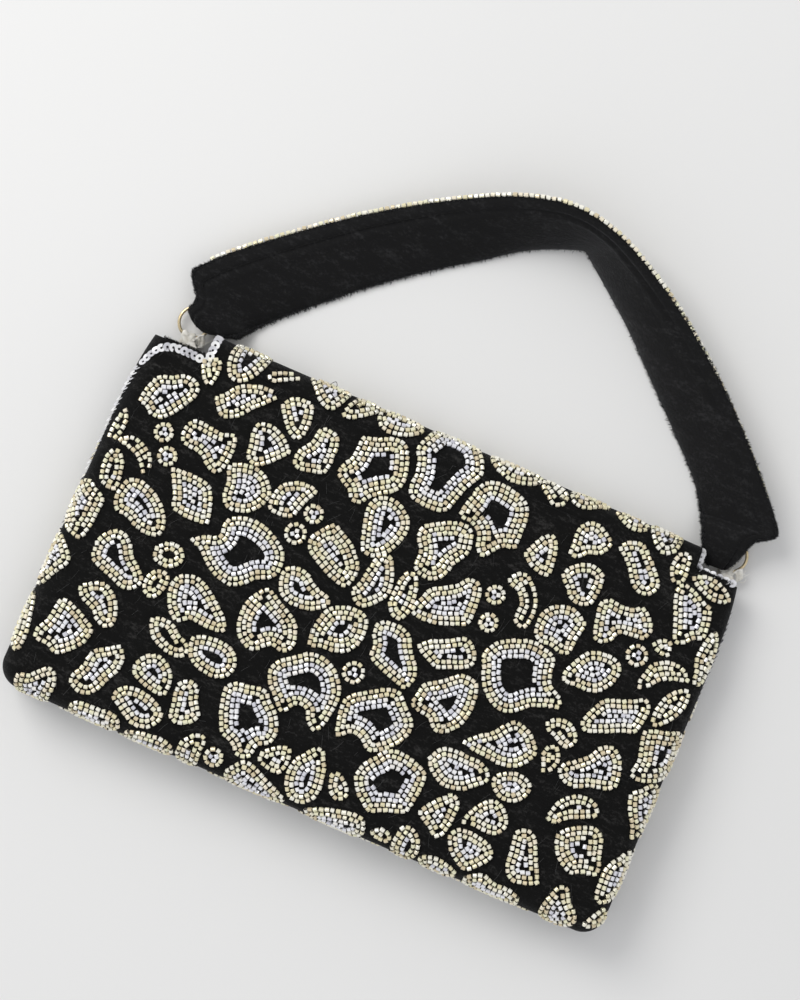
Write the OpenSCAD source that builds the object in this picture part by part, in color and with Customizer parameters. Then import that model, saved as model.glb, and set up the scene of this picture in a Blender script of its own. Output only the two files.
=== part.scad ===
// Evening bag lying on its back panel, with its strap laid out behind it.
// +X runs to the right, +Y towards the strap and +Z up. The origin is on the
// surface the bag lies on, under the middle of the flap.

/* [Flap] */
// Width of the flap over its turned-down sides
flap_w = 254; // [246:1:262]
// From the middle of the bag to the flap's lower edge
flap_drop = 77; // [72:1:82]
// From the middle of the bag to the shoulders, where the fold begins
shoulder_y = 71; // [70:0.5:72]
// Height of the flap's face above the table at its lower edge
flap_high = 28; // [26:1:32]
// Radius of the flap's lower corners
corner_r = 9; // [7:1:12]
// Height of the turned-down edge above the table
skirt_low = 8; // [7:0.5:10]
// Left end of the fold
fold_left = -104; // [-106:1:-103]
// Right end of the fold
fold_right = 108; // [106:1:110]
// Outside radius of the fold over the mouth
fold_r = 9; // [8.5:0.5:9]

/* [Cloth and boards] */
// Thickness of the beaded velvet
velvet_t = 1.6; // [1.4:0.1:1.8]
// Thickness of the board inside the flap
flap_board_t = 1.0; // [0.8:0.1:1.2]
// Thickness of the flap's lining
flap_lining_t = 0.8; // [0.6:0.1:1.0]
// Thickness of the boards in the pouch
board_t = 1.2; // [1:0.1:1.4]
// Thickness of the satin lining
lining_t = 0.6; // [0.5:0.1:0.7]
// Thickness of the side gussets
gusset_t = 1.2; // [1:0.1:1.4]

/* [Rings] */
// Thickness of the ring wire
ring_wire = 1.3; // [1.1:0.1:1.4]
// Outside diameter of a ring
ring_od = 13.5; // [13:0.5:14]
// Middle of the left ring
ring_left_x = -113.5; // [-114:0.5:-113]
// Middle of the right ring
ring_right_x = 119; // [118:0.5:119.5]
// Distance of both rings up the bag
ring_y = 81.5; // [81.5:0.5:82.5]
// Height of the rings above the table
ring_z = 3.4; // [3.4:0.1:3.6]

/* [Strap] */
// Thickness of each of the strap's three layers
strap_ply = 1.1; // [1:0.1:1.2]
// Width of the velvet loops that hold the rings
strap_loop_w = 7; // [6:0.5:7]
// Bore of a strap loop
strap_loop_bore = 4.6; // [4.6:0.1:4.8]

/* [Snap] */
// Distance of the snap below the middle of the bag
snap_drop = 48; // [40:1:55]
// Diameter of the snap's discs
snap_d = 14; // [12:1:16]
// Diameter of the snap's stud
stud_d = 3.6; // [3.4:0.1:3.8]

/* [Hidden] */

velvet = "#1b1b1f";
beads = "#d9d3c2";
satin = "#2a2a30";
card = "#8c7f68";
gold = "#c9a551";
cream = "#ece4cf";
nickel = "#b8b8ba";

round_fn = 64;
ample = 60;
side_gap = 0.4;
// The flap's lower edge swings inwards as it lifts, so it starts further off
bottom_gap = 1.5;
face_gap = 0.4;
edge_r = 7;
edging_t = 1.4;
board_inset = 8;

fold_top = 2 * fold_r;
face_slope = (flap_high - fold_top) / (shoulder_y + flap_drop);
face_tilt = atan(face_slope);
flap_t = velvet_t + flap_board_t + flap_lining_t;
front_off = flap_t + face_gap;
front_t = velvet_t + board_t + lining_t;

body_half = flap_w / 2 - velvet_t - side_gap;
body_y0 = -flap_drop + velvet_t + bottom_gap;
gusset_end = shoulder_y - 1;
mouth_y = shoulder_y - 11;
board_end = mouth_y - 2;
lining_end = mouth_y - 1;
back_t = velvet_t + 0.2;
back_stack = back_t + board_t + lining_t;
corner_end = body_y0 + edge_r;

snap_stud_len = 1.7;
stud_gap = 0.6;
pocket_half = 45;
pocket_y = [-40, 40];
pocket_t = 0.5;
pocket_gap = 0.3;

ring_mid_r = (ring_od - ring_wire) / 2;
tab_w = 5;
tab_od = 4.4;
tab_bore = 3.2;
tab_tail_t = 1.6;
tab_tail_y = lining_end + 0.5;
eye_wall = 1;

// Rim and inner edge of the strap, station by station from left to right
strap_rim = [
    [-120.5, 101], [-108, 113], [-90, 129], [-70, 144], [-50, 157],
    [-32, 168], [-14, 177], [5, 181], [24, 178.5], [42, 171],
    [60, 161], [78, 146.5], [95, 131], [112, 114.5], [130, 97]
];
strap_inner = [
    [-96, 88.5], [-85, 95], [-68, 108], [-50, 123], [-33, 137],
    [-17, 149], [-3, 160], [9, 166], [18, 167.5], [28, 160],
    [43, 147.5], [59, 132.5], [75, 117.5], [90, 103], [103, 89]
];
// Corners of the band where it narrows to its loops
strap_end_left = [[-110, 91], [-117, 91]];
strap_end_right = [[122.5, 91], [115.5, 91]];
strap_steps = 3;
core_inset = 0.14;
loop_tail_len = 9;

// Height of the flap's face at a distance y up the bag
function face_z(y) = fold_top + (shoulder_y - y) * face_slope;

// A point on a smooth curve through the stations of a list
function curve_point(p, i, t) =
    let (
        n = len(p) - 1,
        a = p[max(i - 1, 0)], b = p[i], c = p[min(i + 1, n)], d = p[min(i + 2, n)]
    )
    0.5 * (2 * b + (c - a) * t + (2 * a - 5 * b + 4 * c - d) * t * t
        + (3 * b - a - 3 * c + d) * t * t * t);

function curve(p, steps) = concat(
    [for (i = [0 : len(p) - 2], k = [0 : steps - 1]) curve_point(p, i, k / steps)],
    [p[len(p) - 1]]
);

function reversed(p) = [for (i = [len(p) - 1 : -1 : 0]) p[i]];

function without_ends(p) = [for (i = [1 : len(p) - 2]) p[i]];

function blended(p, q, t) = [for (i = [0 : len(p) - 1]) p[i] * (1 - t) + q[i] * t];

// Extrudes a profile drawn in Y and Z from x0 to x1
module along_x(x0, x1) {
    translate([x0, 0, 0]) rotate([90, 0, 90]) linear_extrude(x1 - x0) children();
}

// A block with the bag's plan, its lower corners rounded
module plan_block(half, y0, y1, r, z0, z1) {
    translate([-half, y0 + r, z0]) cube([2 * half, y1 - y0 - r, z1 - z0]);
    translate([-half + r, y0, z0]) cube([2 * (half - r), y1 - y0, z1 - z0]);
    for (side = [-1, 1])
        translate([side * (half - r), y0 + r, z0])
            cylinder(r = r, h = z1 - z0, $fn = round_fn);
}

// The flap's plan, drawn in by an inset
module flap_block(inset, y1, z0) {
    plan_block(flap_w / 2 - inset, -flap_drop + inset, y1, corner_r - inset, z0, ample);
}

// The pouch's plan, drawn in by an inset
module pouch_block(inset, y1, z0, z1) {
    plan_block(body_half - inset, body_y0 + inset, y1, edge_r - inset, z0, z1);
}

// Everything between the height low and a depth below the flap's face
module below_face(depth, low) {
    along_x(-flap_w, flap_w) polygon([
        [-2 * flap_drop, low], [2 * shoulder_y, low],
        [2 * shoulder_y, face_z(2 * shoulder_y) - depth],
        [-2 * flap_drop, face_z(-2 * flap_drop) - depth]
    ]);
}

// A sloping layer that starts at a depth below the flap's face
module layer(depth, t) {
    along_x(-flap_w, flap_w) polygon([
        [-2 * flap_drop, face_z(-2 * flap_drop) - depth - t],
        [2 * shoulder_y, face_z(2 * shoulder_y) - depth - t],
        [2 * shoulder_y, face_z(2 * shoulder_y) - depth],
        [-2 * flap_drop, face_z(-2 * flap_drop) - depth]
    ]);
}

// The rounded cloth over the mouth, as far down as the swinging flap clears the back
module fold_arc(x0, x1, outer, inner) {
    intersection() {
        translate([x0, shoulder_y, fold_r]) rotate([0, 90, 0]) difference() {
            cylinder(r = outer, h = x1 - x0, $fn = round_fn);
            translate([0, 0, -1]) cylinder(r = inner, h = x1 - x0 + 2, $fn = round_fn);
        }
        along_x(x0, x1) polygon([
            [shoulder_y, fold_r],
            [shoulder_y + 3 * fold_r * cos(8), fold_r + 3 * fold_r * sin(8)],
            [shoulder_y + 3 * fold_r, 4 * fold_r], [shoulder_y, 4 * fold_r]
        ]);
    }
}

// A round rod through flap and pouch, square to the flap's face where the snap is
module snap_rod(d) {
    translate([0, -snap_drop, face_z(-snap_drop)]) rotate([-face_tilt, 0, 0])
        translate([0, 0, -ample / 2]) cylinder(d = d, h = ample, $fn = round_fn);
}

// The snap's share of a sloping layer
module snap_disc(d, depth, t) {
    intersection() {
        snap_rod(d);
        layer(depth, t);
    }
}

module back_panel() {
    color(beads) pouch_block(0, shoulder_y, 0, back_t);
}

module back_board() {
    color(card) pouch_block(gusset_t + lining_t, board_end, back_t, back_t + board_t);
}

module front_panel() {
    color(velvet) difference() {
        intersection() {
            pouch_block(gusset_t, mouth_y, back_t, ample);
            layer(front_off, velvet_t);
        }
        snap_rod(snap_d);
    }
}

module front_board() {
    color(card) difference() {
        intersection() {
            pouch_block(gusset_t, board_end, back_t, ample);
            layer(front_off + velvet_t, board_t);
        }
        snap_rod(snap_d);
    }
}

// The pouch's outer wall, from the back panel up to the front panel's face
module pouch_wall() {
    intersection() {
        difference() {
            pouch_block(0, gusset_end, back_t, ample);
            pouch_block(gusset_t, gusset_end + 1, back_t - 1, ample + 1);
        }
        below_face(front_off, back_t);
    }
}

module bottom_gusset() {
    color(beads) intersection() {
        pouch_wall();
        translate([-flap_w, -flap_w, 0]) cube([2 * flap_w, flap_w + corner_end, ample]);
    }
}

module side_gusset(side) {
    color(beads) intersection() {
        pouch_wall();
        translate([side > 0 ? 0 : -flap_w, corner_end, 0]) cube([flap_w, flap_w, ample]);
    }
}

module side_gusset_left() { side_gusset(-1); }

module side_gusset_right() { side_gusset(1); }

module base_board() {
    reach = body_half - edge_r - 1;
    color(card) intersection() {
        translate([-reach, body_y0 + gusset_t, back_t + board_t])
            cube([2 * reach, board_t, ample]);
        below_face(front_off + velvet_t + board_t, back_t);
    }
}

module lining_pouch() {
    out = gusset_t + board_t;
    color(satin) difference() {
        intersection() {
            pouch_block(out, lining_end, back_t + board_t, ample);
            below_face(front_off + velvet_t + board_t, back_t);
        }
        intersection() {
            pouch_block(out + lining_t, lining_end + 1, back_stack, ample);
            below_face(front_off + front_t, back_t);
        }
    }
}

module slip_pocket() {
    low = back_stack;
    color(satin) {
        translate([-pocket_half, pocket_y[0], low + pocket_gap])
            cube([2 * pocket_half, pocket_y[1] - pocket_y[0], pocket_t]);
        for (x = [-pocket_half, pocket_half - lining_t])
            translate([x, pocket_y[0], low])
                cube([lining_t, pocket_y[1] - pocket_y[0], pocket_gap + pocket_t]);
        translate([-pocket_half, pocket_y[0], low])
            cube([2 * pocket_half, lining_t, pocket_gap + pocket_t]);
    }
}

module snap_socket() {
    color(nickel) difference() {
        snap_disc(snap_d, front_off, velvet_t);
        snap_rod(stud_d + 2 * stud_gap);
    }
}

module snap_socket_plate() {
    color(nickel) difference() {
        snap_disc(snap_d, front_off + velvet_t, board_t);
        snap_rod(stud_d + 2 * stud_gap);
    }
}

// A folded ribbon: an eye round the ring's wire and a tail sewn to the back panel
module ribbon_tab(x) {
    eye_y = ring_y - ring_mid_r;
    color(cream) difference() {
        union() {
            translate([x - tab_w / 2, eye_y, ring_z]) rotate([0, 90, 0])
                cylinder(d = tab_od, h = tab_w, $fn = round_fn);
            translate([x - tab_w / 2, tab_tail_y, back_t])
                cube([tab_w, eye_y - tab_tail_y, tab_tail_t]);
        }
        translate([x - tab_w, eye_y, ring_z]) rotate([0, 90, 0])
            cylinder(d = tab_bore, h = 2 * tab_w, $fn = round_fn);
    }
}

module ribbon_tab_left() { ribbon_tab(ring_left_x); }

module ribbon_tab_right() { ribbon_tab(ring_right_x); }

module flap_panel() {
    color(beads) {
        difference() {
            intersection() {
                flap_block(0, shoulder_y, skirt_low);
                below_face(0, skirt_low);
            }
            intersection() {
                flap_block(velvet_t, shoulder_y + 1, skirt_low - 1);
                below_face(velvet_t, skirt_low - 1);
            }
        }
        fold_arc(fold_left, fold_right, fold_r, fold_r - velvet_t);
    }
}

module flap_board() {
    color(card) difference() {
        intersection() {
            flap_block(board_inset, shoulder_y - board_inset, skirt_low);
            layer(velvet_t, flap_board_t);
        }
        snap_rod(snap_d);
    }
}

module flap_lining() {
    color(satin) difference() {
        intersection() {
            flap_block(velvet_t, shoulder_y - 1, skirt_low);
            layer(velvet_t + flap_board_t, flap_lining_t);
        }
        snap_rod(snap_d);
    }
}

module snap_stud() {
    depth = velvet_t + flap_board_t;
    color(nickel) {
        snap_disc(snap_d, depth, flap_lining_t);
        snap_disc(stud_d, depth, flap_lining_t + face_gap + snap_stud_len);
    }
}

module snap_stud_plate() {
    color(nickel) snap_disc(snap_d, velvet_t, flap_board_t);
}

// The string of sequins along every free edge of the flap
module sequin_edging() {
    end_y = shoulder_y + edging_t;
    low = skirt_low - edging_t;
    high = face_z(shoulder_y);
    half = flap_w / 2;
    color("white") {
        intersection() {
            difference() {
                flap_block(0, end_y, low);
                flap_block(velvet_t, end_y + 1, low - 1);
            }
            translate([-flap_w, -flap_w, low]) cube([2 * flap_w, 2 * flap_w, edging_t]);
        }
        for (x = [-half, half - velvet_t])
            translate([x, shoulder_y, low]) cube([velvet_t, edging_t, high - low]);
        translate([-half, shoulder_y, high - edging_t])
            cube([half + fold_left, edging_t, edging_t]);
        translate([fold_right, shoulder_y, high - edging_t])
            cube([half - fold_right, edging_t, edging_t]);
        fold_arc(fold_left - edging_t, fold_left, fold_r, fold_r - velvet_t);
        fold_arc(fold_right, fold_right + edging_t, fold_r, fold_r - velvet_t);
    }
}

module ring(x) {
    color(gold) translate([x, ring_y, ring_z])
        rotate_extrude($fn = round_fn) translate([ring_mid_r, 0])
            circle(d = ring_wire, $fn = 24);
}

module ring_left() { ring(ring_left_x); }

module ring_right() { ring(ring_right_x); }

// One outer layer of the strap, narrowing to its loops at both ends
module strap_layer(z) {
    translate([0, 0, z]) linear_extrude(strap_ply) polygon(concat(
        curve(strap_rim, strap_steps), strap_end_right,
        reversed(curve(strap_inner, strap_steps)), strap_end_left
    ));
}

module strap_face() { color(beads) strap_layer(0); }

// The stiffener, narrower than the strap and ending short of the loops
module strap_core() {
    rim = without_ends(blended(strap_rim, strap_inner, core_inset));
    inner = without_ends(blended(strap_inner, strap_rim, core_inset));
    color(card) translate([0, 0, strap_ply]) linear_extrude(strap_ply)
        polygon(concat(curve(rim, strap_steps), reversed(curve(inner, strap_steps))));
}

module strap_lining() { color(velvet) strap_layer(2 * strap_ply); }

// The flat end of a loop, held between the strap's face and lining
module loop_tail(x) {
    translate([x - strap_loop_w / 2, ring_y + ring_mid_r + strap_loop_bore / 2, strap_ply])
        cube([strap_loop_w, loop_tail_len, strap_ply]);
}

module strap_loop(x) {
    eye_y = ring_y + ring_mid_r;
    bore = strap_loop_bore;
    color(velvet) difference() {
        union() {
            translate([x - strap_loop_w / 2, eye_y, ring_z]) rotate([0, 90, 0])
                cylinder(d = bore + 2 * eye_wall, h = strap_loop_w, $fn = round_fn);
            loop_tail(x);
        }
        translate([x - strap_loop_w, eye_y, ring_z]) rotate([0, 90, 0])
            cylinder(d = bore, h = 2 * strap_loop_w, $fn = round_fn);
    }
}

module strap_loop_left() { strap_loop(ring_left_x); }

module strap_loop_right() { strap_loop(ring_right_x); }

back_panel();
back_board();
front_panel();
front_board();
bottom_gusset();
side_gusset_left();
side_gusset_right();
base_board();
lining_pouch();
slip_pocket();
snap_socket();
snap_socket_plate();
ribbon_tab_left();
ribbon_tab_right();
flap_panel();
flap_board();
flap_lining();
snap_stud();
snap_stud_plate();
sequin_edging();
ring_left();
ring_right();
strap_face();
strap_core();
strap_lining();
strap_loop_left();
strap_loop_right();
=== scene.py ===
"""Beaded velvet evening bag, lying on its back with its strap laid out behind it."""

import math

import bpy
import numpy as np
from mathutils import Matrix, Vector, kdtree


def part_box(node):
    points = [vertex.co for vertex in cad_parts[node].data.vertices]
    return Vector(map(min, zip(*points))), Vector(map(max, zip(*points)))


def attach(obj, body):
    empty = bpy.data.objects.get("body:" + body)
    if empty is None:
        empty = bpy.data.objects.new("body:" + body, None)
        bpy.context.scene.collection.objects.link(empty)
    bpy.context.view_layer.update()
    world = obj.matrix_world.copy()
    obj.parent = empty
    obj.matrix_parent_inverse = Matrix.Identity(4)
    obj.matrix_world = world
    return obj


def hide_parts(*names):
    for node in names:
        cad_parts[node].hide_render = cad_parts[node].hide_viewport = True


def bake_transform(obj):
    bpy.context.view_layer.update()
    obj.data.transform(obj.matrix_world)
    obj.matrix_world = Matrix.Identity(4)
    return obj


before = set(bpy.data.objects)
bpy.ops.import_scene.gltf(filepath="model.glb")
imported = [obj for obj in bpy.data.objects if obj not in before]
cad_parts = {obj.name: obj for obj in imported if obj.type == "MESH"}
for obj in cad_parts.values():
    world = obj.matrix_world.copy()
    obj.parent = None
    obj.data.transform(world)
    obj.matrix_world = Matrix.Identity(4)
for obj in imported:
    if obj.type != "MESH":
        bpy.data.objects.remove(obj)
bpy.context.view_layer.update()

MM = 0.001
HALF_PI = math.pi / 2
# Keep a divisor off zero
SMALL, TINY = 1e-9, 1e-12
rng = np.random.default_rng(11)


# ---------------------------------------------------------------- sizes, in mm

def mm_box(node):
    """A CAD node's lowest and highest corners in millimetres."""
    low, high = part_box(node)
    return np.array(low) / MM, np.array(high) / MM


# The flap's face rises from the fold to the lower edge, and its edges roll down to a hem
SHOULDER_Y = mm_box("back_panel")[1][1]
FLAP_LOW_Y = mm_box("flap_panel")[0][1]
FACE_LOW_Z = 28.0
FACE_TOP_Z = 18.0
SLOPE = (FACE_LOW_Z - FACE_TOP_Z) / (SHOULDER_Y - FLAP_LOW_Y)
ROLL = 9.0
SIDE = 127.0 - ROLL
LOW = -77.0 + ROLL
HEM_Z = 7.0
VELVET_T = 1.1
FACE_CROWN = 1.1
FACE_WAVE = 0.45
PILE_SWELL = 0.4
PILE_REACH = 2.6
SATIN_UNDER = 2.75
SATIN_PAST = 4.9

# The fold runs over the mouth from the flap's face down to the back, on half an ellipse
BACK_Z = 1.35
FOLD_LEFT, FOLD_RIGHT = -104.0, 108.0
FOLD_REACH = 8.5
FOLD_MID = (FACE_TOP_Z + BACK_Z) / 2
FOLD_RISE = (FACE_TOP_Z - BACK_Z) / 2
FOLD_LEN = math.pi * (FOLD_REACH + FOLD_RISE) / 2
FOLD_TOP = SHOULDER_Y + FOLD_LEN / 2

# The pouch lies on its back; its front is FRONT_OFF under the flap's face
FRONT_OFF = 4.0
POUCH_ROLL = 2.0
POUCH_SIDE = 124.6 - POUCH_ROLL
POUCH_LOW = -73.5 + POUCH_ROLL
MOUTH_Y = 60.0
LINING_SIDE = 122.2
LINING_FLOOR = 3.1
LINING_UNDER = 6.75
POCKET_SIDE, POCKET_TOP, POCKET_Z = 45, 40, 4.25

# Beads: their size, their pitch along a row and from row to row, how near two may be, how
# far each strays and turns from its place, and how finely a motif is searched for room
BEAD_LEN = 1.74
BEAD_R = 0.87
BEAD_SIDES = 8
BEAD_LIFT = 0.56
ROW_START = 0.44
BEAD_STEP = 2.24
ROW_STEP = 1.96
BEAD_NEAR = 1.74
BEAD_GAP = 1.84
BEAD_STRAY = 0.07
BEAD_TILT = 0.09
BEAD_YAW = 0.15
BEAD_ROLL = 0.4
BEADS_PER_PIECE = 2000
STRIPE = 64
MOST_ROWS = 12
ROW_SLACK = 0.12
ROW_JOIN = 2.5
OUTLINE_STEP = 0.35
SPOT_STEP = 0.4
WIDE_ROSETTE = 2.8
ROSETTE_MIDDLE = 1.22

# Sequins: their pitch along the string and how far each leans on the next
SEQUIN_STEP = 2.3
SEQUIN_TILT = 0.22
SEQUIN_LIFT = 0.35
SEQUIN_SIDES = 14

# Rings, and the strap: its width and thickness, and its seam, with t from 0 at the inner
# edge to 1 at the rim and s from 0 at the left end to 1 at the right
RING_R = 6.1
RING_MID = {"left": (-113.5, 81.5, 3.4), "right": (119.0, 81.5, 3.4)}
STRAP_W = 31.0
STRAP_T = 2.2
STRAP_BULGE = 0.12
STITCH_T = 0.8
STITCH_STEP = 2.6
SEAM_FROM, SEAM_TO = 0.16, 0.86
STRAP_BEAD_LIFT = 0.5
PILE_FLOOR = 0.05
STRAP_STEPS = 900

# Rim and inner edge of the strap, station by station from the left end to the right
STRAP_RIM = [
    (-113.4, 82), (-117.2, 85.4), (-115.8, 90), (-118.6, 94.5), (-121.4, 99),
    (-120.2, 102.4), (-108.8, 114), (-90.5, 129.8), (-70.8, 145.2), (-51, 158.4),
    (-32.5, 168.8), (-14, 177), (5, 181), (24, 178.5), (42, 171),
    (60, 161), (78.8, 147.5), (96.4, 132.6), (113.4, 116), (130, 98),
    (128.4, 93), (124, 89.8), (122.4, 84.6), (120.8, 79.5), (119, 76.2),
]
STRAP_INNER = [
    (-107, 80.9), (-101, 81.1), (-96, 82.8), (-94.4, 84.6), (-93.2, 86.4),
    (-91.4, 88.6), (-85.7, 94.8), (-69.7, 110), (-52.3, 125.6), (-34.6, 139.4),
    (-18.3, 151), (-3.6, 161.6), (13, 169.2), (18.6, 170.4), (21.6, 167.6),
    (44.7, 149.5), (61, 134.6), (77.2, 119.8), (92.2, 105.5), (101.4, 93.4),
    (102.8, 90.4), (104.2, 87.4), (106, 83), (108.6, 78.2), (111.4, 75),
]
# Height of the rim above the inner edge, at the same stations
STRAP_RISE = [
    0.4, 0.8, 2, 4, 6, 8, 8.5, 8, 9, 11,
    15, 21, 26, 26, 24, 21, 20, 19, 18, 13,
    9, 6, 3, 1.2, 0.4,
]
# Height of the inner edge above the table: the ends lie over the rings
STRAP_FOOT = [
    5, 6.4, 6, 4, 2.2, 0.6, 0.1, 0.1, 0.1, 0.1,
    0.1, 0.1, 0.1, 0.1, 0.1, 0.1, 0.1, 0.1, 0.1, 0.6,
    3, 5.4, 6.4, 5.6, 5,
]

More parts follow.
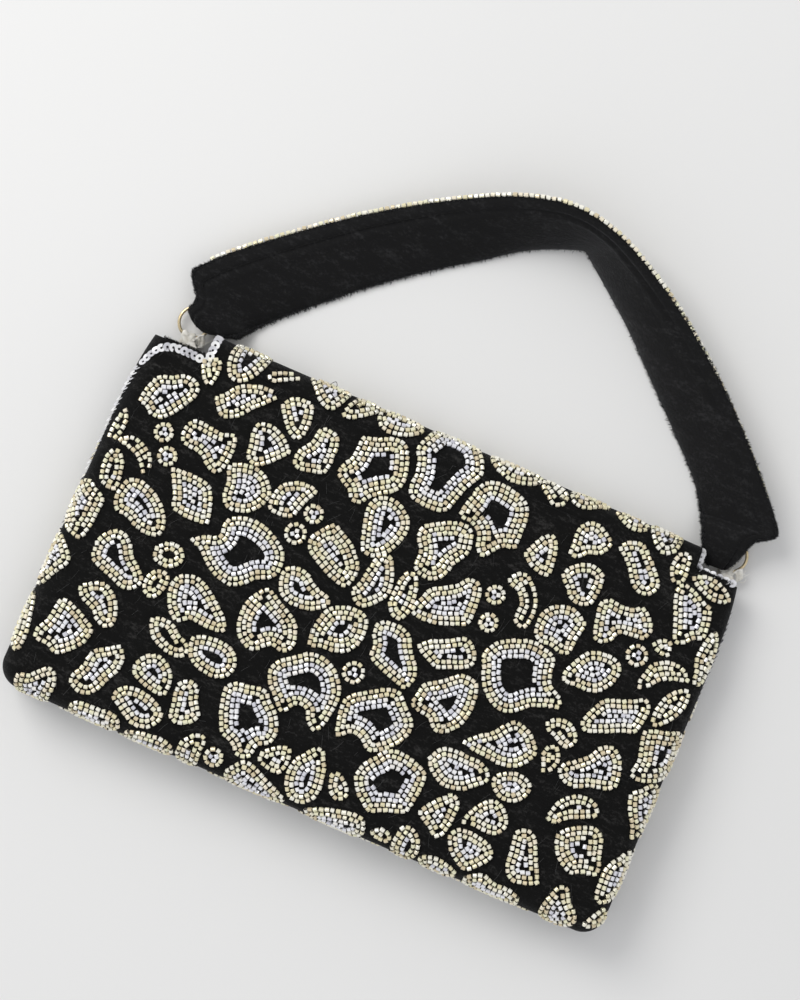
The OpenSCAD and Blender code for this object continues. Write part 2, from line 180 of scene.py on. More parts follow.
# Bead motifs on the flap: how many rows of beads (0 fills the motif), then the
# points of its outline as x and y. Those beyond the edges go round them.
MOTIFS = [
    [0, -104.5, 69, -102, 71, -98.5, 72, -96, 68, -95.8, 63, -97, 60.5, -100, 61.5, -103, 65],
    [3, -95.5, 80.7, -95.8, 73, -93, 67.5, -89.5, 66, -85, 68, -81.5, 74, -80, 80, -81, 82.8, -88,
     84.2, -94, 83.2],
    [0, -78.5, 72.5, -76, 71.5, -72, 73.5, -67, 76.5, -66.5, 78.5, -70, 79, -75, 77, -78, 75],
    [3, -93, 57.5, -91, 54.5, -87.5, 51.3, -82, 53.2, -76.5, 60, -71, 66.5, -72.5, 68.5, -77, 69.2,
     -83.5, 67.5, -88, 64.5, -90, 61],
    [0, -119.3, 45.5, -119, 50, -116.6, 56.3, -112, 58.5, -107.4, 61, -102, 60.5, -99.5, 57, -100.5,
     51.7, -105.8, 43.2, -109, 41, -113, 41, -116, 43.2, -118.5, 43.6],
    [0, -98.6, 42.5, -96, 46.5, -89, 46.5, -84.5, 46, -79, 47.2, -77, 41, -78, 33, -80.5, 30.2, -84.3,
     31, -89, 34.8, -95, 35.5, -98.2, 37.8],
    [0, -122, 39.5, -119.5, 36, -119.5, 31, -121, 27, -124.5, 25.5, -125, 31, -124, 36.5],
    [0, -119.5, 28.5, -115, 31, -109, 29.5, -105, 26, -104, 21, -106, 18.5, -108.5, 21.5, -111.5, 24.5,
     -116, 26, -119.5, 26.5],
    [0, -118, 24, -114.5, 20.5, -113, 15, -113, 9, -117, 8.5, -120.5, 10.5, -122, 17, -121.5, 22],
    [0, -111, 14, -107, 16.5, -101, 15.5, -94, 11, -90, 5, -90, 0, -94, -2, -100, -1.5, -105, 1, -110,
     2, -112.5, 7],
    [0, -96.5, 25.5, -92, 26.5, -85, 26.5, -80, 25, -77, 20, -75, 13, -76, 10.5, -84, 10, -90, 11, -92,
     16, -95, 22],
    [4, -128, 7, -124, 9, -120, 7, -115.5, 4, -115.5, -3, -116, -9, -118, -14, -122, -13.5, -126, -12,
     -130, -7, -131, 0],
    [3, -74, 50, -73.5, 55, -69, 56.5, -64, 55.5, -59, 52, -57, 49, -60, 45, -64, 41, -68, 39, -72, 41,
     -73, 46],
    [3, -68.5, 65, -66, 69.5, -60, 71, -56.5, 69, -54.8, 63, -54.8, 58, -57, 54.8, -61, 56, -65, 60],
    [0, -77, 35, -73, 38, -67, 39, -62, 37.5, -58.5, 34, -57, 30, -59, 25, -63, 21, -68, 19.5, -72, 20,
     -74.5, 24, -75, 29],
    [4, -79, 3, -74, 7, -69.5, 9, -69.5, 15, -66, 18.5, -60, 20, -53, 19, -47, 16, -43, 12, -42, 6,
     -44, 1.5, -49, -1, -53, -5, -58, -7.5, -64, -6.5, -70, -3, -74.5, 1],
    [0, -62.5, 80, -60, 76, -56, 72, -52, 70.5, -49, 71.5, -47, 75, -45.5, 79, -46, 82.1, -54, 83.5,
     -62, 82.1],
    [0, -45.5, 71, -43, 70.3, -39, 72, -35, 75, -32, 78, -31.5, 80.7, -36, 82.1, -41, 81.4, -43, 79,
     -45, 75],
    [0, -32, 75, -29, 72, -24, 71.5, -18, 73, -14, 76, -13, 79, -15, 81.4, -22, 82.5, -29, 81.8, -32,
     80],
    [4, -8, 82.1, -10, 79, -13, 71, -11, 67, -9.5, 62, -9.5, 57, -8, 52.5, -3, 51, 4, 51, 8, 53, 9.5,
     57, 11.5, 63, 14, 68, 15.5, 71.5, 14, 76, 11.5, 80, 10, 82.5, 0, 84.2],
    [4, -34, 66.5, -28, 68.5, -23, 71, -18, 71, -15, 68, -12.5, 62, -11.5, 57, -13, 52, -17, 49, -21,
     46, -24, 42, -28, 41.5, -31, 45, -36, 48, -37.5, 52, -35, 57, -34.5, 62],
    [3, -51, 62, -48, 64, -43, 63, -41, 59, -40.5, 52, -41.5, 47, -46, 45.5, -52, 44.5, -55, 47, -54.5,
     52, -51.5, 57],
    [0, -54, 38, -49, 40.5, -44, 41, -41, 39.5, -43.5, 34, -45, 29, -47, 26, -52, 25, -56, 26, -57, 30,
     -56, 35],
    [4, -37, 21, -35, 26, -30, 31, -26, 29.5, -20, 26, -15.5, 21, -14, 17, -15.5, 11, -18, 9.5, -24,
     11, -30, 14, -35, 17],
    [4, -21, 44, -18, 48, -12, 49, -6, 46, -3, 42, -3, 37, -5, 31, -9, 26, -13, 24.5, -17, 26, -19.5,
     33, -21, 39],
    [3, -10, 27, -5, 28, -2.5, 25, 0, 19, 0, 13, -3, 9, -7, 5.5, -11, 6, -14, 10, -12.5, 14, -11.5,
     20],
    [3, -41.5, 6, -40, 8.5, -36, 10, -31, 9, -27, 6, -21, 4, -19.5, 1, -23, -2.5, -28, -4.5, -35, -4.5,
     -39, -2, -41, 2],
    [0, 15.5, 80.3, 17, 77, 22, 74, 28, 73, 34, 74.5, 38, 77, 38.5, 80.7, 33, 82.5, 24, 82.8, 17,
     82.1],
    [0, 39, 76, 42, 73.5, 46, 71, 50, 73, 50.5, 77, 47, 80.3, 43, 81.4, 39, 80.3],
    [0, 51, 77.5, 54, 74.5, 59, 75, 64, 78, 68, 80, 66, 82.1, 58, 82.8, 51.5, 81],
    [4, 15, 66, 19, 70.5, 25, 71.5, 33, 70, 37, 67, 38.5, 62, 38.5, 54, 38, 50, 33, 48, 29, 43, 26, 42,
     23.5, 45, 22, 49.5, 18, 52, 13, 53, 13, 58, 14.5, 63],
    [4, 1, 43, 4, 46, 9, 49, 14, 51, 20, 50, 22, 45, 22, 40, 19, 35, 17, 29, 13, 25.5, 8, 25.5, 4.5,
     28, 4, 34, 1, 39],
    [0, 46, 58.5, 50, 61, 53, 58, 54.5, 52, 54.5, 46, 52, 44.5, 46, 46, 42, 49.5, 43, 53],
    [2, 40, 38, 42, 41.5, 46, 43, 50, 40.5, 54, 35, 55, 29, 54, 23.5, 51, 22.5, 48, 25, 48, 31, 45, 35,
     42, 36],
    [0, 11.5, 18, 14, 23, 19, 26, 23, 29, 26, 32.5, 31, 32, 33, 28, 33.5, 20, 33, 15.5, 28, 13, 21,
     10.5, 14, 10, 10, 12],
    [0, 3, 25, 7, 25.5, 9.5, 21, 10.5, 15, 10, 10, 8, 6.5, 4, 7, 1, 11, 1, 17, 1.5, 22],
    [4, 43, 10, 46, 14.5, 52, 18, 58, 20, 64, 19.5, 69, 17, 70, 12, 72, 7, 77, 4, 78, 0, 74, -1.5, 68,
     -4, 62, -9, 56, -10, 50, -7, 46, -2, 44, 3, 42.5, 7],
    [0, 57, 31, 60, 35.5, 64, 37.5, 68, 38, 73.5, 35.5, 75, 33, 74, 27, 73.5, 21, 70, 19.5, 65, 20.5,
     60, 20.5, 57, 24],
    [0, 58, 67, 61, 71, 65, 72, 69, 70.5, 72.5, 68, 73, 65, 70, 61, 65, 59, 62, 56, 58, 56.5, 58, 61],
    [3, 58.5, 48, 61, 53, 65, 55.5, 69, 56.5, 74, 54.5, 75, 50, 74.5, 44, 73, 41, 69, 39.5, 65, 40.5,
     62, 44],
    [0, 70.5, 79.5, 74, 76, 79, 74.5, 83.5, 76, 85, 79, 82, 81.4, 75, 81.8],
    [3, 85.5, 80, 87, 75.5, 91, 71.5, 95, 71, 98.5, 74, 99.5, 79, 98.5, 81.8, 92, 82.8, 87, 82.1],
    [0, 98, 70, 100, 74.5, 104, 75, 105.5, 71, 105, 65, 102.5, 62.5, 99.5, 63, 98, 66.5],
    [0, 107.5, 67.5, 112, 70, 118, 70, 122.5, 67.5, 125, 64.5, 121, 62, 116, 62, 110, 64.5],
    [0, 102.5, 61, 105, 64, 110, 63, 115, 60.5, 118, 59, 119.5, 54, 119.5, 47, 116, 45, 112, 41.5,
     108.5, 41.5, 106.5, 46, 104.5, 52, 103, 56],
    [0, 101.5, 37.5, 104, 40.5, 108, 41, 109.5, 37.5, 109, 35, 106, 34.5, 103, 35.5],
    [0, 121, 50, 124, 51, 127, 45, 127.5, 38, 126, 30, 122, 29, 120.5, 34, 119, 38, 119, 43],
    [3, 102.5, 25, 104, 30, 109, 33.5, 115, 34, 119, 31.5, 120, 29, 115, 27.5, 110, 25, 107, 21.5, 104,
     18.5, 102, 21.5],
    [0, 112, 13, 113.5, 20, 117, 24.5, 121, 26.5, 123, 24, 122.5, 18, 120, 13, 116, 8.5, 113, 8.5],
    [3, 76, 66.5, 78, 70, 82, 71.5, 86, 71.5, 90, 67.5, 94, 63, 96, 59, 94, 54.5, 90, 53, 85.5, 55, 82,
     60, 79, 63.5],
    [3, 76.5, 44, 80, 47, 85, 46.5, 89, 47, 93, 49, 97, 46.5, 99.5, 42, 98, 37.5, 93, 36.5, 88, 35.5,
     86.5, 32, 83, 29.5, 79.5, 30, 78, 34, 77, 38.5],
    [4, 74, 14, 76, 19, 79, 24, 84, 26.5, 91, 26.5, 94.5, 23, 94, 18, 91, 13, 87, 10.5, 80, 10, 75,
     10],
    [0, 88, 1, 90, 6, 93, 10.5, 98, 12.5, 103, 14.5, 107.5, 17, 110.5, 14, 110.5, 9, 109, 3, 104, 1,
     98, -2, 91, -4.5, 88, -2.5],
    [4, 111.5, 5, 115, 7, 120, 8.5, 126, 10, 130, 5, 131, -3, 128, -9, 121, -13, 116, -14, 113, -12,
     113.5, -6, 112, 0],
    [3, -111.5, -10, -108, -5.5, -103, -4.5, -99, -7.5, -96, -12, -92, -15, -89, -19, -90.5, -23, -95,
     -25, -100, -23.5, -106, -21.5, -111, -19, -112, -14],
    [2, -90, -5, -87, -1.5, -83, -0.5, -79, -2.5, -78, -6.5, -81, -10, -85, -11, -89, -9.5],
    [0, -89, -18, -87, -13.5, -83, -12, -80, -14, -80, -19, -82, -23, -85, -24, -88, -22],
    [4, -79, -15, -77, -11, -72, -9, -67, -10, -62, -13, -57, -17, -53, -21, -53, -25, -60, -26, -66,
     -25.5, -71, -28.5, -75, -26, -78, -21],
    [0, -130, -16, -126, -15, -121, -18.5, -118, -23, -120, -28, -123, -33, -126.5, -38, -130, -33,
     -131, -25],
    [0, -111, -31, -107, -27, -102, -25.5, -97, -28, -93.5, -33, -92.5, -39, -96, -41.5, -100, -40,
     -103, -37, -108, -35],
    [0, -128.5, -40, -125.5, -42, -123, -49, -121.5, -56, -122, -62, -125, -63.5, -129, -60, -131, -52,
     -131, -45],
    [0, -116, -38.5, -113, -37, -108, -38.5, -103, -41, -99, -44, -100, -50, -104, -55, -109, -58.5,
     -113, -56.5, -118.5, -56, -119.5, -52, -117, -46],
    [3, -95, -50, -91, -47.5, -87, -45, -83.5, -49, -83.5, -54, -86, -60, -89, -66, -94, -68.5, -99,
     -66.5, -100, -63, -97.5, -58, -97, -53],
    [0, -119.5, -71, -115, -69, -111, -65, -107.5, -63.5, -104, -67, -104, -73, -106, -80, -113, -83,
     -118, -79],
    [0, -96, -73.5, -93, -71, -87, -70.5, -80, -70, -76, -71.5, -75, -76, -80, -81, -88, -82, -95,
     -79],
    [2, -80.5, -31, -77, -29, -72, -29, -68, -32, -64, -34, -62, -37, -64, -40.5, -69, -41, -75, -39,
     -79, -35.5],
    [3, -63, -31, -58, -28.5, -51, -28, -45.5, -30, -43, -34.5, -44, -39.5, -49, -42.5, -55, -42, -60,
     -40, -62, -37.5, -63, -34],
    [4, -79.5, -50, -77, -45, -72, -42.5, -67, -44.5, -63.5, -49, -63.5, -56, -68, -57, -74, -55.5,
     -78, -53.5],
    [0, -82, -62, -79, -58.5, -74, -57.5, -68, -58.5, -63, -61, -61, -65, -64, -70, -70, -71.5, -75,
     -69.5, -79, -67, -82, -65],
    [0, -60.5, -49, -57, -46.5, -53, -48, -51, -53, -48, -58, -50, -62, -55, -64.5, -59, -63, -60, -58,
     -61, -53],
    [0, -72, -75, -66, -72.5, -58, -71.5, -53, -73.5, -52.5, -78, -58, -82, -67, -82, -72, -79],
    [0, -51.5, -72, -49.5, -67, -45, -64, -42, -65.5, -42, -71, -42, -77, -45, -81, -50, -79],
    [4, -49.5, -10, -47, -5, -43, -2, -38, -4.5, -33, -7, -28.5, -10, -26, -15, -25.5, -20, -29, -23,
     -34, -22.5, -38, -26, -42, -27, -47, -24, -49.5, -19, -50, -14],
    [4, -20, -1, -17, 2, -12, 4, -6, 4, -3, 1, -2, -4, -3, -9, -6, -13, -11, -15, -16, -15.5, -20.5,
     -16.5, -22, -12, -21.5, -6],
    [4, -31, -31, -29, -26, -24, -22, -19, -18.5, -13, -18, -8, -20, -4, -24, -1.5, -29, -1.5, -36, -3,
     -43, -6, -46, -10, -43, -12, -39.5, -16, -39.5, -18, -43, -21, -44, -25, -40, -29, -36],
    [4, -44, -44, -41, -40.5, -36, -39.5, -29, -38.5, -25, -42, -20.5, -46, -18, -52, -19, -57, -23,
     -60, -24, -65, -29, -66.5, -33, -63, -38, -61, -41, -56, -43, -50],
    [0, -21, -61, -18, -58, -14, -55.5, -10.5, -56, -9.5, -61, -11, -66, -16, -66.5, -20.5, -65],
    [0, -3, -51.5, 0.5, -50.5, 3, -54, 5, -59, 6, -65, 5, -70, 1, -73.5, -4, -73.5, -8, -69, -9, -63,
     -8, -58, -5, -54],
    [0, -31, -75, -29, -70, -25, -66.5, -20, -67.5, -14, -70, -8, -73, -5, -76, -10, -81, -20, -83,
     -28, -80],
    [3, 0, 2, 3, 4.5, 9, 5, 14, 3, 17, -2, 21, -7, 22.5, -12, 20, -17, 15, -16, 9, -14, 3, -11, 2, -6,
     0, -2],
    [3, 18, 1, 21, 4, 27, 7, 33, 10.5, 37, 10, 40.5, 6, 41, 2, 38, -1, 33, -3, 28, -5, 24, -3.5, 19,
     -1],
    [4, 26, -12, 31, -8.5, 35, -5, 39, -2.5, 45, -3.5, 47, -8, 47.5, -15, 46, -21, 42, -26, 37, -27.5,
     33, -24, 28, -23, 24.5, -21, 25, -16],
    [4, 0, -30, 3, -26, 9, -22, 14, -19, 19, -18.5, 23, -22, 28, -27, 29, -32, 26, -38, 21, -43, 16,
     -44.5, 12, -41.5, 8, -41, 3, -44, 1, -39, 0, -34],
    [4, 20, -45, 23, -41, 29, -39.5, 36, -41, 41, -44, 41.5, -51, 40.5, -58, 39, -61, 32, -63.5, 26,
     -66, 22, -63.5, 18, -60, 15.5, -55, 17, -49],
    [0, 39, -37, 42, -32, 47, -30.5, 53, -30.5, 59, -31, 63, -33.5, 64, -37, 60, -41, 55, -44.5, 48,
     -45.5, 43, -43, 40, -40],
    [4, 49, -26, 53, -22, 58, -18, 61, -14, 65, -11, 71, -12.5, 75, -16, 77, -20, 74.5, -25, 71, -28,
     65, -29.5, 60, -29, 53, -28.5, 49.5, -28.5],
    [0, 65, -34.5, 68, -31, 73, -29, 78, -30, 80.5, -33, 79, -38, 75, -41, 70, -41, 66, -38],
    [0, 49, -50, 53, -46.5, 57, -48.5, 57.5, -54, 56.5, -62, 53, -65, 49, -62, 44, -59, 45, -55],
    [0, 7, -58, 10, -56.5, 14, -59, 16.5, -63, 15, -66, 11, -66.5, 8, -63],
    [0, 3, -76, 7, -72.5, 13, -70, 20, -68.5, 25, -68.5, 27.5, -72, 27.5, -77, 22, -82, 10, -82],
    [0, 30, -72.5, 32.5, -69.5, 36, -69.5, 38.5, -72, 37, -74.5, 32, -74.5],
    [0, 40, -66, 44, -64.5, 48, -67, 50, -71, 49.5, -76, 46, -81, 41, -79, 39, -74],
    [0, 51, -75, 54, -72, 60, -71.5, 65, -73, 67, -76, 62, -81, 54, -80],
    [3, 61, -52, 64, -46, 68, -42.5, 72, -42.5, 76, -46, 77.5, -50, 75, -54.5, 70, -55.5, 65, -55, 61,
     -56],
    [0, 58, -62, 60, -58, 65, -57, 70, -57.5, 75, -59.5, 77, -63, 74, -68, 69, -72, 64, -70, 60,
     -66.5],
    [2, 75.5, -7, 78, -4, 83, -3, 87, -5, 89.5, -9.5, 87, -13, 84, -13, 80, -11, 77, -10],
    [0, 78.5, -18, 80, -14.5, 83.5, -14, 86, -18, 85.5, -22, 82, -26.5, 80, -22.5],
    [0, 87.5, -19, 91, -16, 95.5, -12, 98, -7.5, 102.5, -5, 107, -7.5, 109.5, -12, 110.5, -19, 107,
     -22, 101, -23.5, 95, -26, 90, -25.5, 87, -22.5],
    [3, 90, -38, 91.5, -33, 96, -28.5, 102, -27, 107, -29, 107.5, -33, 103, -35.5, 98, -38, 94, -41.5,
     90, -41],
    [0, 116, -20, 119, -16, 124, -12, 129, -16, 130, -25, 127, -33, 124, -36.5, 121, -31, 118, -26],
    [4, 96, -45, 99, -41, 104, -38, 109, -36.5, 113, -39, 115, -45, 117, -51, 116, -54, 111, -55, 107,
     -57, 102, -55, 98, -51],
    [0, 118, -52, 119, -47, 122, -43, 125, -39, 129, -44, 130, -52, 128, -59, 123, -63, 119, -61.5],
    [3, 81, -52, 82, -49, 86, -47.5, 90, -50, 93, -56, 96, -62, 97, -65.5, 92, -68, 87, -68.5, 83, -65,
     82, -58],
    [0, 103, -66, 105, -62.5, 108.5, -62, 111, -66, 115, -69.5, 116.5, -73, 114, -78, 108, -82, 102.5,
     -78, 101.5, -72],
    [0, 119, -72, 121, -68, 124.5, -64, 128, -66, 128, -70, 124, -73, 120, -74],
    [0, 70, -75, 73, -71.5, 77, -70, 82, -71.5, 88, -71.5, 93, -74, 92, -79, 82, -82, 72, -80],
]
# Round motifs: middle and diameter
ROSETTES = [
    (-105, 37, 8), (-100, 29, 8), (-39, 31, 8), (-42.5, 21.3, 9), (38, 30.4, 8),
    (39.8, 19.5, 8), (97.7, 30.8, 9), (-0.5, -19, 9), (-36.8, -70.5, 8),
]


# ------------------------------------------------------------------- materials

def principled(name, color, rough, **constants):
    """A Principled material; constants are set on the shader's own sockets."""
    mat = bpy.data.materials.new(name)
    mat.use_nodes = True
    shader = mat.node_tree.nodes["Principled BSDF"]
    shader.inputs["Base Color"].default_value = (*color, 1)
    shader.inputs["Roughness"].default_value = rough
    for key, value in constants.items():
        shader.inputs[key.replace("_", " ")].default_value = value
    mat.diffuse_color = (*color, 1)
    return mat


def texture(mat, kind, scale, stretch=(1, 1, 1), turn=0.0, **settings):
    """A texture node in metres, scale per metre, with its axes stretched and turned."""
    nodes, links = mat.node_tree.nodes, mat.node_tree.links
    place = nodes.new("ShaderNodeTexCoord")
    mapping = nodes.new("ShaderNodeMapping")
    mapping.inputs["Scale"].default_value = stretch
    mapping.inputs["Rotation"].default_value = (0, 0, turn)
    node = nodes.new("ShaderNodeTex" + kind)
    node.inputs["Scale"].default_value = scale
    for key, value in settings.items():
        if key in node.inputs:
            node.inputs[key].default_value = value
        else:
            setattr(node, key, value)
    links.new(place.outputs["Object"], mapping.inputs["Vector"])
    links.new(mapping.outputs["Vector"], node.inputs["Vector"])
    return node


def ramp_to(mat, source, socket, stops):
    """Runs a texture's factor through a colour ramp into a shader socket."""
    nodes, links = mat.node_tree.nodes, mat.node_tree.links
    ramp = nodes.new("ShaderNodeValToRGB")
    elements = ramp.color_ramp.elements
    while len(elements) < len(stops):
        elements.new(0.5)
    for element, (at, value) in zip(elements, stops):
        element.position = at
        element.color = (*value, 1) if hasattr(value, "__len__") else (value,) * 3 + (1,)
    links.new(source, ramp.inputs["Fac"])
    links.new(ramp.outputs["Color"], nodes["Principled BSDF"].inputs[socket])


def math_node(mat, operation, first, second):
    """The output of a Math node on an output and another output or a number."""
    node = mat.node_tree.nodes.new("ShaderNodeMath")
    node.operation = operation
    mat.node_tree.links.new(first, node.inputs[0])
    if isinstance(second, (int, float)):
        node.inputs[1].default_value = second
    else:
        mat.node_tree.links.new(second, node.inputs[1])
    return node.outputs[0]


def bump(mat, heights, strength, distance):
    """Adds the heights, given as (output, share), and bumps the surface with them."""
    nodes, links = mat.node_tree.nodes, mat.node_tree.links
    total = None
    for output, share in heights:
        part = math_node(mat, "MULTIPLY", output, share)
        total = part if total is None else math_node(mat, "ADD", total, part)
    node = nodes.new("ShaderNodeBump")
    node.inputs["Strength"].default_value = strength
    node.inputs["Distance"].default_value = distance
    links.new(total, node.inputs["Height"])
    links.new(node.outputs["Normal"], nodes["Principled BSDF"].inputs["Normal"])


def grained(mat, scale, strength):
    """Fine unevenness on a piece whose colour and gloss are the same all over."""
    grain = texture(mat, "Noise", scale, Detail=3.0, Roughness=0.6)
    bump(mat, [(grain.outputs["Fac"], 1.0)], strength, 0.0001)


def velvet(name, dark, light, sheen):
    """Black pile: short crossing streaks where it has been brushed."""
    mat = principled(name, dark, 0.9, Sheen_Weight=sheen, Sheen_Roughness=0.35,
                     Specular_IOR_Level=0.15)
    mat.node_tree.nodes["Principled BSDF"].inputs["Sheen Tint"].default_value = (0.75, 0.76, 0.8, 1)
    pile = texture(mat, "Noise", 1500, Detail=3.0, Roughness=0.7)
    brushed = texture(mat, "Noise", 90, stretch=(1, 3.5, 1), turn=0.5, Detail=6.0, Roughness=0.75)
    tuft = texture(mat, "Noise", 620, stretch=(1, 1.6, 1), turn=0.9, Detail=4.0, Roughness=0.8)
    both = math_node(mat, "MULTIPLY", brushed.outputs["Fac"], tuft.outputs["Fac"])
    ramp_to(mat, both, "Base Color", [(0.14, dark), (0.26, dark), (0.4, light)])
    bump(mat, [(pile.outputs["Fac"], 0.7), (tuft.outputs["Fac"], 1.0), (brushed.outputs["Fac"], 0.6)],
         0.8, 0.0005)
    return mat


def satin(name, color, pale):
    """Warp-faced lining satin with a fine weave and soft streaks."""
    mat = principled(name, color, 0.35, Sheen_Weight=0.25, Sheen_Roughness=0.4, Anisotropic=0.5)
    warp = texture(mat, "Wave", 2600, Distortion=1.0, bands_direction="X")
    streak = texture(mat, "Noise", 60, stretch=(1, 8, 1), Detail=4.0)
    ramp_to(mat, streak.outputs["Fac"], "Base Color", [(0.3, color), (0.75, pale)])
    bump(mat, [(warp.outputs["Fac"], 0.6), (streak.outputs["Fac"], 0.35)], 0.2, 0.0003)
    return mat


def ribbon(name):
    """Grosgrain ribbon: fine ribs across it, a little soiled."""
    mat = principled(name, (0.8, 0.79, 0.74), 0.5, Sheen_Weight=0.3, Sheen_Roughness=0.5)
    ribs = texture(mat, "Wave", 900, Distortion=0.6, bands_direction="Y")
    soil = texture(mat, "Noise", 500, Detail=4.0)
    ramp_to(mat, soil.outputs["Fac"], "Base Color",
            [(0.3, (0.74, 0.71, 0.62)), (0.6, (0.93, 0.91, 0.85))])
    bump(mat, [(ribs.outputs["Fac"], 1.0), (soil.outputs["Fac"], 0.3)], 0.6, 0.0002)
    return mat


def metal(name, color, dark, rough, scale):
    """Plated wire or sheet with fine wear."""
    mat = principled(name, color, rough, Metallic=1.0)
    wear = texture(mat, "Noise", scale, Detail=5.0, Roughness=0.65)
    ramp_to(mat, wear.outputs["Fac"], "Base Color", [(0.3, dark), (0.6, color)])
    ramp_to(mat, wear.outputs["Fac"], "Roughness", [(0.3, rough + 0.15), (0.65, rough)])
    bump(mat, [(wear.outputs["Fac"], 1.0)], 0.2, 0.0001)
    return mat


def board(name):
    """Grey-brown bookbinder's board."""
    mat = principled(name, (0.3, 0.25, 0.18), 0.9)
    fibre = texture(mat, "Noise", 700, Detail=6.0, Roughness=0.8)
    ramp_to(mat, fibre.outputs["Fac"], "Base Color",
            [(0.3, (0.22, 0.18, 0.13)), (0.7, (0.38, 0.33, 0.25))])
    bump(mat, [(fibre.outputs["Fac"], 1.0)], 0.5, 0.0002)
    return mat


def glass_beads(name, tints, metallic, rough):
    """Foil-lined glass beads: one material for each tint, chosen bead by bead."""
    made = []
    for i, tint in enumerate(tints):
        mat = principled(f"{name}_{i}", tint, rough, Metallic=metallic, Coat_Weight=0.6,
                         Coat_Roughness=0.08, Specular_IOR_Level=0.6)
        grained(mat, 1400, 0.25)
        made.append(mat)
    return made


VELVET = velvet("velvet_black", (0.0035, 0.0035, 0.0033), (0.03, 0.029, 0.028), 0.08)
STRAP_VELVET = velvet("velvet_strap", (0.0075, 0.0075, 0.0078), (0.024, 0.024, 0.025), 0.2)
SATIN = satin("satin_lining", (0.012, 0.012, 0.014), (0.03, 0.03, 0.034))
RIBBON = ribbon("ribbon_cream")
GOLD = metal("gold_plate", (0.78, 0.66, 0.42), (0.5, 0.38, 0.2), 0.24, 900)
NICKEL = metal("nickel_plate", (0.62, 0.61, 0.58), (0.4, 0.4, 0.39), 0.3, 900)
BOARD = board("board_grey")
LINT = principled("lint_grey", (0.035, 0.035, 0.035), 0.8, Sheen_Weight=0.1)
grained(LINT, 2500, 0.6)
THREAD = principled("thread_black", (0.01, 0.01, 0.01), 0.8, Specular_IOR_Level=0.2)
grained(THREAD, 2500, 0.6)
GOLD_BEADS = glass_beads("bead_gold", [
    (0.86, 0.81, 0.58), (0.9, 0.86, 0.68), (0.8, 0.73, 0.48), (0.93, 0.9, 0.76),
    (0.86, 0.84, 0.6), (0.7, 0.6, 0.4), (0.9, 0.82, 0.64), (0.95, 0.93, 0.82),
], 0.25, 0.24)
SILVER_BEADS = glass_beads("bead_silver", [
    (0.88, 0.88, 0.89), (0.94, 0.94, 0.95), (0.8, 0.8, 0.84), (0.86, 0.87, 0.91),
    (0.9, 0.88, 0.84), (0.68, 0.68, 0.74),
], 0.25, 0.24)
SEQUIN = glass_beads("sequin", [
    (0.82, 0.82, 0.83), (0.72, 0.72, 0.75), (0.86, 0.86, 0.85), (0.58, 0.58, 0.61),
], 0.15, 0.22)
# Dark ends and caps of every bead: partly the real thread hole, partly painted shade standing for the dark
# gaps between neighbouring beads
HOLE_AND_SHADE = principled("bead_hole_painted_shade", (0.1, 0.09, 0.07), 0.6)
grained(HOLE_AND_SHADE, 2500, 0.4)
BEAD_SETS = {
    "gold": (GOLD_BEADS + [HOLE_AND_SHADE], "beads_gold"),
    "silver": (SILVER_BEADS + [HOLE_AND_SHADE], "beads_silver"),
}


# ---------------------------------------------------------------- mesh helpers

def make(name, verts, faces, mats, slot, body=None, node=(), smooth=True, picks=None):
    """A mesh piece from vertices in millimetres."""
    mesh = bpy.data.meshes.new(name)
    verts = np.asarray(verts, float).reshape(-1, 3) * MM
    mesh.from_pydata(verts.tolist(), [], [tuple(f) for f in faces])
    for mat in mats:
        mesh.materials.append(mat)
    if picks is not None:
        mesh.polygons.foreach_set("material_index", np.asarray(picks, np.int32))
    if smooth:
        mesh.polygons.foreach_set("use_smooth", np.ones(len(mesh.polygons), bool))
    mesh.update()
    obj = bpy.data.objects.new(name, mesh)
    bpy.context.scene.collection.objects.link(obj)
    if body:
        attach(obj, body)
    if node:
        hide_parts(*node)
    return obj


def unit(vectors):
    """Vectors of length 1, along the last axis."""
    return vectors / np.maximum(np.linalg.norm(vectors, axis=-1, keepdims=True), SMALL)


def grid_normals(grid):
    """Unit normals of a grid of points, rows by columns."""
    return unit(np.cross(np.gradient(grid, axis=1), np.gradient(grid, axis=0)))


def shell_parts(grid, thick, flip=False):
    """Vertices and faces of a cloth whose outer side is the grid, closed at its edges."""
    rows, cols = grid.shape[:2]
    normal = grid_normals(grid)
    if flip:
        normal = -normal
    thick = np.asarray(thick, float)
    if thick.ndim == 2:
        thick = thick[..., None]
    inner = grid - normal * thick
    verts = np.concatenate([grid.reshape(-1, 3), inner.reshape(-1, 3)])
    index = np.arange(rows * cols).reshape(rows, cols)
    a, b = index[:-1, :-1].ravel(), index[:-1, 1:].ravel()
    c, d = index[1:, 1:].ravel(), index[1:, :-1].ravel()
    top = np.stack([a, b, c, d], 1)
    ring = np.concatenate([index[0, :], index[1:, -1], index[-1, -2::-1], index[-2:0:-1, 0]])
    after = np.roll(ring, -1)
    n = rows * cols
    low = top[:, ::-1] + n
    rim = np.stack([after, ring, ring + n, after + n], 1)
    faces = np.concatenate([top, low, rim])
    if flip:
        faces = faces[:, ::-1]
    return verts, faces


def shell(name, grid, thick, mat, slot, body=None, node=(), flip=False):
    """A cloth piece whose outer side is the grid."""
    verts, faces = shell_parts(grid, thick, flip)
    return make(name, verts, faces, [mat], slot, body, node)


def ring_faces(count, sides, closed=False):
    """Faces between rings of vertices, each ring joined to the next."""
    faces = []
    for i in range(count if closed else count - 1):
        j = (i + 1) % count
        for k in range(sides):
            m = (k + 1) % sides
            faces.append((i * sides + k, i * sides + m, j * sides + m, j * sides + k))
    return faces


